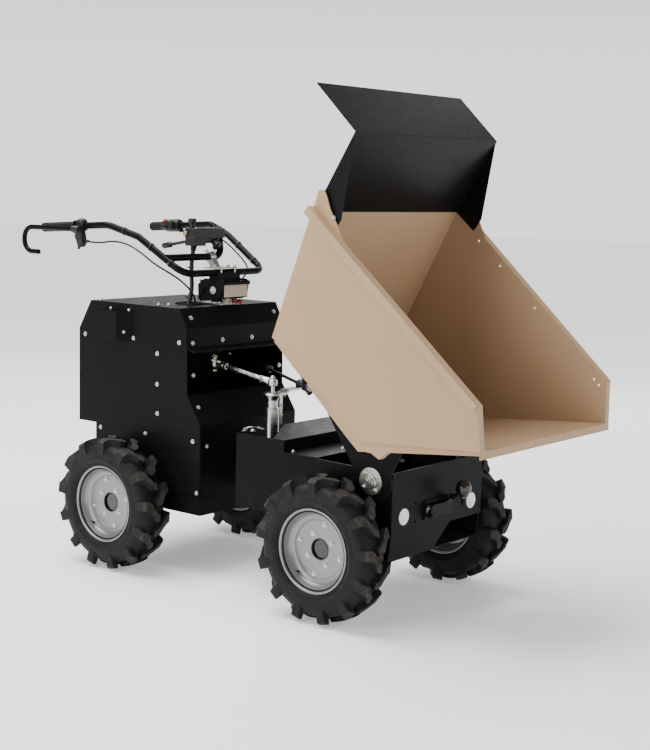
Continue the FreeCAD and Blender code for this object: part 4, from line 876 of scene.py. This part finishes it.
grips = arm_grip(RIGHT, 156)
other = arm_grip(LEFT, 86)
mesh = bpy.data.meshes.new("left_grip_rings")
other.to_mesh(mesh)
other.free()
grips.from_mesh(mesh)
piece("rubber_grips", grips, "handlebar", ["grip"], 30, replaces=["handlebar_grips"])


def switch_pod():
    """Throttle housing on the left arm with its buttons, clamp seam and cable end."""
    bm = bmesh.new()
    place, direction = arm_place(LEFT, 84)
    barrel = [(15, 0), (20.5, 1.5), (22, 5), (22, 29.6), (21.4, 30), (21.4, 31), (22, 31.4), (22, 52),
              (20.0, 58), (14.5, 62)]
    stem(bm, facing(place, direction, Z), barrel, 36)
    x, y, z = place
    outline = rounded(46, 44, 8)
    rings = [[at(x + 31 + a * grow, y - 22 + b * grow, z - 14 + height) for a, b in outline]
             for height, grow in ((0, 0.90), (3, 1.0), (26, 1.0), (30, 0.92))]
    loft(bm, rings)
    for finish, step, drop in ((1, 14, 6), (2, 36, -6)):
        spot = (x + step, y - 31, z + 14)
        stem(bm, facing(spot, Z), [(10.2, 0), (10.2, 3.4), (9.4, 4.2)], 28)
        stem(bm, facing(spot, Z), [(7.6, 3), (7.6, 8.0), (6.6, 9.4), (3.0, 10.0)], 28, material=finish)
        spot = (x + 9.5, y - 31, z - drop)
        stem(bm, facing(spot, -X), [(6.4, 0), (6.4, 2.2)], 24)
        stem(bm, facing(spot, -X), [(4.8, 2), (4.8, 4.4), (3.6, 5.2)], 24, material=finish)
    cable_end = [(4.0, 0), (4.0, 16), (5.5, 18), (5.5, 26), (4, 28)]
    stem(bm, facing((x + 34, y - 44, z - 2), -Y), cable_end, 16)
    piece("throttle_housing", bm, "handlebar", ["plastic", "red", "green"], 34, 0.6,
          replaces=["switch_housing"])


CONSOLE_REAR_X, CONSOLE_FRONT_X = -782, -735
CONSOLE_TOP_Z = 1058


def console_box():
    """Switch console: folded box, deeper left part, knob post, lever and knob."""
    bm = bmesh.new()
    rear_x, front_x = CONSOLE_REAR_X, CONSOLE_FRONT_X
    slab(bm, (rear_x, -65, 1027), (front_x, 70, 1057))
    slab(bm, (rear_x, -65, 1054.4), (front_x + 0.8, 70, CONSOLE_TOP_Z))
    slab(bm, (rear_x + 2, -66.0, 1002), (front_x - 2, -14, 1030))
    slab(bm, (rear_x + 8, -14, 1010), (front_x - 8, 30, 1028))
    slab(bm, (-752, 38, 1012), (-738, 66, 1030))
    piece("console_case", bm, "handlebar", ["plastic"], 30, 2.0,
          replaces=["switch_console"])
    bm = bmesh.new()
    post = [(7.5, 0), (7.5, 15), (10, 17), (13.2, 19), (13.8, 24), (13.4, 30), (9, 32)]
    stem(bm, facing((-774, -40, 1056), Z), post, 28)
    lever = [(12, -6), (12, 16), (7, 20), (5.2, 24), (5.2, 90), (8.6, 94), (9.6, 98), (9.6, 126),
             (7.0, 131)]
    stem(bm, facing((-774, -40, 1018), Vector((-132, 0, -23)).normalized()), lever, 24)
    knob = [(11, -14), (11, 2), (15, 4), (15.6, 10), (13, 14), (5, 15)]
    stem(bm, facing((-738, 30, 1008), Vector((0.7, 0, -0.7))), knob, 28)
    for x, y in ((-777, -58), (-740, -58), (-777, 63), (-740, 63)):
        screw = facing((x, y, CONSOLE_TOP_Z), Z)
        stem(bm, screw, [(2.6, -0.6), (2.6, 0.9), (1.8, 1.4)], 14, material=1)
    stem(bm, facing((-778, -62, 1040), -Y), [(8.8, 0), (8.8, 6), (7.8, 8)], 24, material=2)
    piece("console_controls", bm, "handlebar", ["plastic", "bright_zinc", "brass"],
          34, 0.3)


HOOD_OUTLINE = [(-726, 838), (-716, 832), (-640, 840), (-622, 862), (-616, 895), (-628, 903),
                (-700, 903), (-728, 884)]


def bracket_details():
    """Black hood and side plate over a pale fixed box, with its bolt."""
    bm = bmesh.new()
    slab(bm, (-620.6, -53, 848), (-618.4, 53, 888))
    slab(bm, (-690, 51, 850), (-621, 55.4, 886))
    piece("bracket_box_front", bm, "handlebar", ["beige"], 30, 1.2)
    bm = bmesh.new()
    for y in (-58.5, 55.5):
        loft(bm, [[at(x, y + d, z) for x, z in HOOD_OUTLINE] for d in (0, 3)])
    slab(bm, (-724, -58, 895), (-612, 58, 898))
    slab(bm, (-614.6, -58, 886), (-612, 58, 898))
    bolt(bm, (-662, -58.5, 868), -Y, 8.4, 12.0, material=1)
    bolt(bm, (-704, -58.5, 868), -Y, 5.0, 7.0)
    piece("bracket_hood", bm, "handlebar", ["tube", "bright_zinc"], 30, 1.0)
    bm = bmesh.new()
    nut = [(10, 0), (10, 10), (13.5, 11), (13.5, 20), (11, 24)]
    stem(bm, facing((-640, -20, 824), Z), nut, 6, material=1)
    stem(bm, facing((-636, 12, 826), Z), [(9, 0), (9, 14), (7, 18)], 20)
    stem(bm, facing((-648, 30, 832), X), [(6, 0), (6, 26), (4.5, 28)], 16)
    piece("bracket_fittings", bm, "handlebar", ["rust_red", "zinc"], 30, 0.4)


UBOLT_HALF = 14


def clamp_details():
    """U-bolts that hold the zinc plate on the cross bar, and the strut's clamp."""
    bm = bmesh.new()
    x, _, z = CROSS_END
    angles = [math.radians(degrees) for degrees in range(15, 180, 15)]
    for y in (-31, 31):
        bow = [at(x - UBOLT_HALF * math.cos(a), y, z - UBOLT_HALF * math.sin(a)) for a in angles]
        points = [at(x - UBOLT_HALF, y, z + 24), at(x - UBOLT_HALF, y, z), *bow,
                  at(x + UBOLT_HALF, y, z), at(x + UBOLT_HALF, y, z + 24)]
        hose(bm, points, 2.9, 14)
        for dx in (-UBOLT_HALF, UBOLT_HALF):
            nut = facing((x + dx, y, z + 15), Z)
            stem(bm, nut, [(5.8, 0), (6.2, 0.8), (6.2, 4.6), (5.6, 5.4)], 6)
    bolt(bm, (-719, 3, 985), Z, 5.4, 7.4)
    bolt(bm, (-751, 3, 984), Z, 5.4, 7.4)
    piece("cross_bar_ubolts", bm, "handlebar", ["bright_zinc"], 30)


LEVER_BLADE = [(-1088, 1052), (-1086, 1040), (-1068, 1004), (-1062, 990), (-1052, 989), (-1040, 1003),
               (-1050, 1046), (-1054, 1056)]


def lever_details():
    """Brake housing: clamp and dome on the arm, bar pivot and tapered lever blade."""
    bm = bmesh.new()
    place, direction = arm_place(RIGHT, 164)
    matrix = facing(place, direction)
    turned(bm, matrix, [(11.1, 0), (15.0, 0), (16.4, 2), (16.4, 26), (15.0, 28), (11.1, 28)], 32)
    stem(bm, facing((place[0] + 12, place[1], place[2] + 10), Z + X * 0.12, X),
         [(17.5, 0), (17.0, 5), (14.6, 10), (10.0, 13.4), (4.0, 14.8)], 32)
    stem(bm, facing((-1080, -268, 1045), X), [(9.2, 0), (11.2, 2), (11.2, 26), (9.4, 30)], 28)
    for y, thickness in ((-259, 18), (-262, 3)):
        loft(bm, [[at(x, y + d, z) for x, z in LEVER_BLADE] for d in (0, thickness)])
    plate(bm, facing((-1070, -271, 1047), Y, X), rounded(30, 12, 4), 26)
    knob = facing((-1064, -250, 990), Vector((-0.8, 0, -0.6)))
    stem(bm, knob, [(3.6, -4), (3.6, 6), (4.8, 8), (4.0, 11)], 16)
    stem(bm, facing((-1074, -262, 1030), -Y), [(4.4, 0), (4.4, 2.6), (3.4, 3.4)], 6, material=1)
    stem(bm, facing((-1046, -246, 1008), X), [(6.2, -6), (6.2, 4), (4.6, 8), (4.0, 20)], 20)
    piece("lever_housing", bm, "handlebar", ["plastic", "bright_zinc"], 30, 0.5,
          replaces=["brake_lever_bracket"])


def arm_tie(bm, place, direction, radius, turn):
    """Nylon strap pulled tight round a tube, with its head and cut tail."""
    matrix = facing(place, direction) @ Matrix.Rotation(turn, 4, "Z")
    turned(bm, matrix, [(radius, -2.2), (radius + 1.4, -2.2), (radius + 1.4, 2.2), (radius, 2.2)], 28)
    plate(bm, matrix @ Matrix.Translation((radius, -3, -3)), rounded(5, 6, 1), 6)
    tail = [(0, 0), (1.2, 0), (6.0, 9), (4.8, 9)]
    plate(bm, matrix @ Matrix.Translation((radius + 1, 2.5, -1.8)), tail, 3.6)


ARM_TIES = [(UPPER_BEND, MIDDLE_BEND, 62, 2.2), (MIDDLE_BEND, CROSS_END, 60, 1.8),
            (MIDDLE_BEND, CROSS_END, 150, 2.6)]


def cable_ties():
    """Ties on both arms, and two round the harness."""
    bm = bmesh.new()
    for side in (RIGHT, LEFT):
        for first, second, distance, turn in ARM_TIES:
            place, direction = arm_place(side, distance, first, second)
            arm_tie(bm, place, direction, 11.1, turn)
    for index in (2, 5):
        place, direction = along(CONTROL_HARNESS[index], CONTROL_HARNESS[index + 1], 4)
        arm_tie(bm, place, direction, HARNESS_DIAMETER / 2, 1.2)
    piece("cable_ties", bm, "handlebar", ["plastic"], 40)


def entry_boots():
    """Small strain reliefs where the cables enter housings."""
    bm = bmesh.new()
    for points, radius in ((CONTROL_HARNESS, 9.6), (SWITCH_CABLE, 5.4)):
        place, direction = along(points[0], points[1], -2)
        profile = [(radius + 1.5, 0), (radius + 1.5, 5), (radius, 7), (radius - 1.6, 20)]
        stem(bm, facing(place, direction), profile, 20)
    piece("cable_boots", bm, "handlebar", ["grip"], 35)


switch_pod()
console_box()
bracket_details()
clamp_details()
lever_details()
cable_ties()
entry_boots()

# ------------------------------------------------------------------ skip ---

TIP = math.radians(39.8)


def tipped(x, y, z):
    """Place on the lowered skip, moved to where the tipped skip has it."""
    dx, dz = x - PIVOT_X, z - PIVOT_Z
    return (PIVOT_X + dx * math.cos(TIP) + dz * math.sin(TIP), y,
            PIVOT_Z - dx * math.sin(TIP) + dz * math.cos(TIP))


def skip_details():
    """Bolts of the spill guard, and the stops under the floor rails."""
    bm = bmesh.new()
    for x, z in ((-400, 905), (-469, 895)):
        for sign in (1, -1):
            bolt(bm, tipped(x, sign * 343.5, z), Y * sign, 5.2, 7.6)
    piece("guard_bolts", bm, "skip", ["bright_zinc"], 30, 0.25)
    bm = bmesh.new()
    outline = ((-98, 676), (-70, 655), (-92, 652))
    for sign in (1, -1):
        loft(bm, [[at(x, sign * (291 + d), z) for x, z in outline] for d in (0, 6)])
    piece("rail_stops", bm, "skip", ["tube"], 30, 0.4)


skip_details()

# ---------------------------------------------------------------- studio ---

# name, place, aim, size and watts of the soft lights, in metres
LIGHTS = (("overhead", (-1.2, -0.6, 4.2), (0.0, 0.0, 0.2), 3.4, 390.0),
          ("key", (-0.3, -4.2, 2.0), (0.1, 0.0, 0.8), 2.0, 95.0),
          ("front", (4.2, 0.8, 2.0), (0.2, 0.0, 0.4), 2.4, 40.0),
          ("back", (-1.6, 3.8, 2.6), (0.0, 0.0, 0.7), 2.4, 60.0))
HORIZON_STRENGTH = 1.6
ZENITH_STRENGTH = 0.26
FLOOR_HALF = 30.0


def make_sky():
    """White at the horizon, dimmer overhead, so that dark panels keep their depth."""
    world = bpy.data.worlds.new("studio")
    bpy.context.scene.world = world
    world.use_nodes = True
    tree = world.node_tree
    place = tree.nodes.new("ShaderNodeTexCoord")
    split = tree.nodes.new("ShaderNodeSeparateXYZ")
    ranged = tree.nodes.new("ShaderNodeMapRange")
    ranged.interpolation_type = "SMOOTHSTEP"
    for key, value in (("From Min", 0.06), ("From Max", 0.30),
                       ("To Min", HORIZON_STRENGTH), ("To Max", ZENITH_STRENGTH)):
        ranged.inputs[key].default_value = value
    background = tree.nodes["Background"]
    background.inputs["Color"].default_value = (1.0, 1.0, 1.0, 1.0)
    tree.links.new(place.outputs["Generated"], split.inputs[0])
    tree.links.new(split.outputs["Z"], ranged.inputs["Value"])
    tree.links.new(ranged.outputs["Result"], background.inputs["Strength"])


def make_floor():
    bm = bmesh.new()
    bmesh.ops.create_grid(bm, x_segments=8, y_segments=8, size=FLOOR_HALF)
    mesh = bpy.data.meshes.new("floor")
    bm.to_mesh(mesh)
    bm.free()
    mesh.materials.append(pale_floor())
    floor = bpy.data.objects.new("floor", mesh)
    bpy.context.collection.objects.link(floor)


def make_lights():
    for name, place, aim, size, power in LIGHTS:
        data = bpy.data.lights.new(name, "AREA")
        data.size = size
        data.energy = power
        lamp = bpy.data.objects.new(name, data)
        lamp.location = place
        lamp.rotation_euler = (Vector(aim) - Vector(place)).to_track_quat("-Z", "Y").to_euler()
        bpy.context.collection.objects.link(lamp)


make_sky()
make_floor()
make_lights()
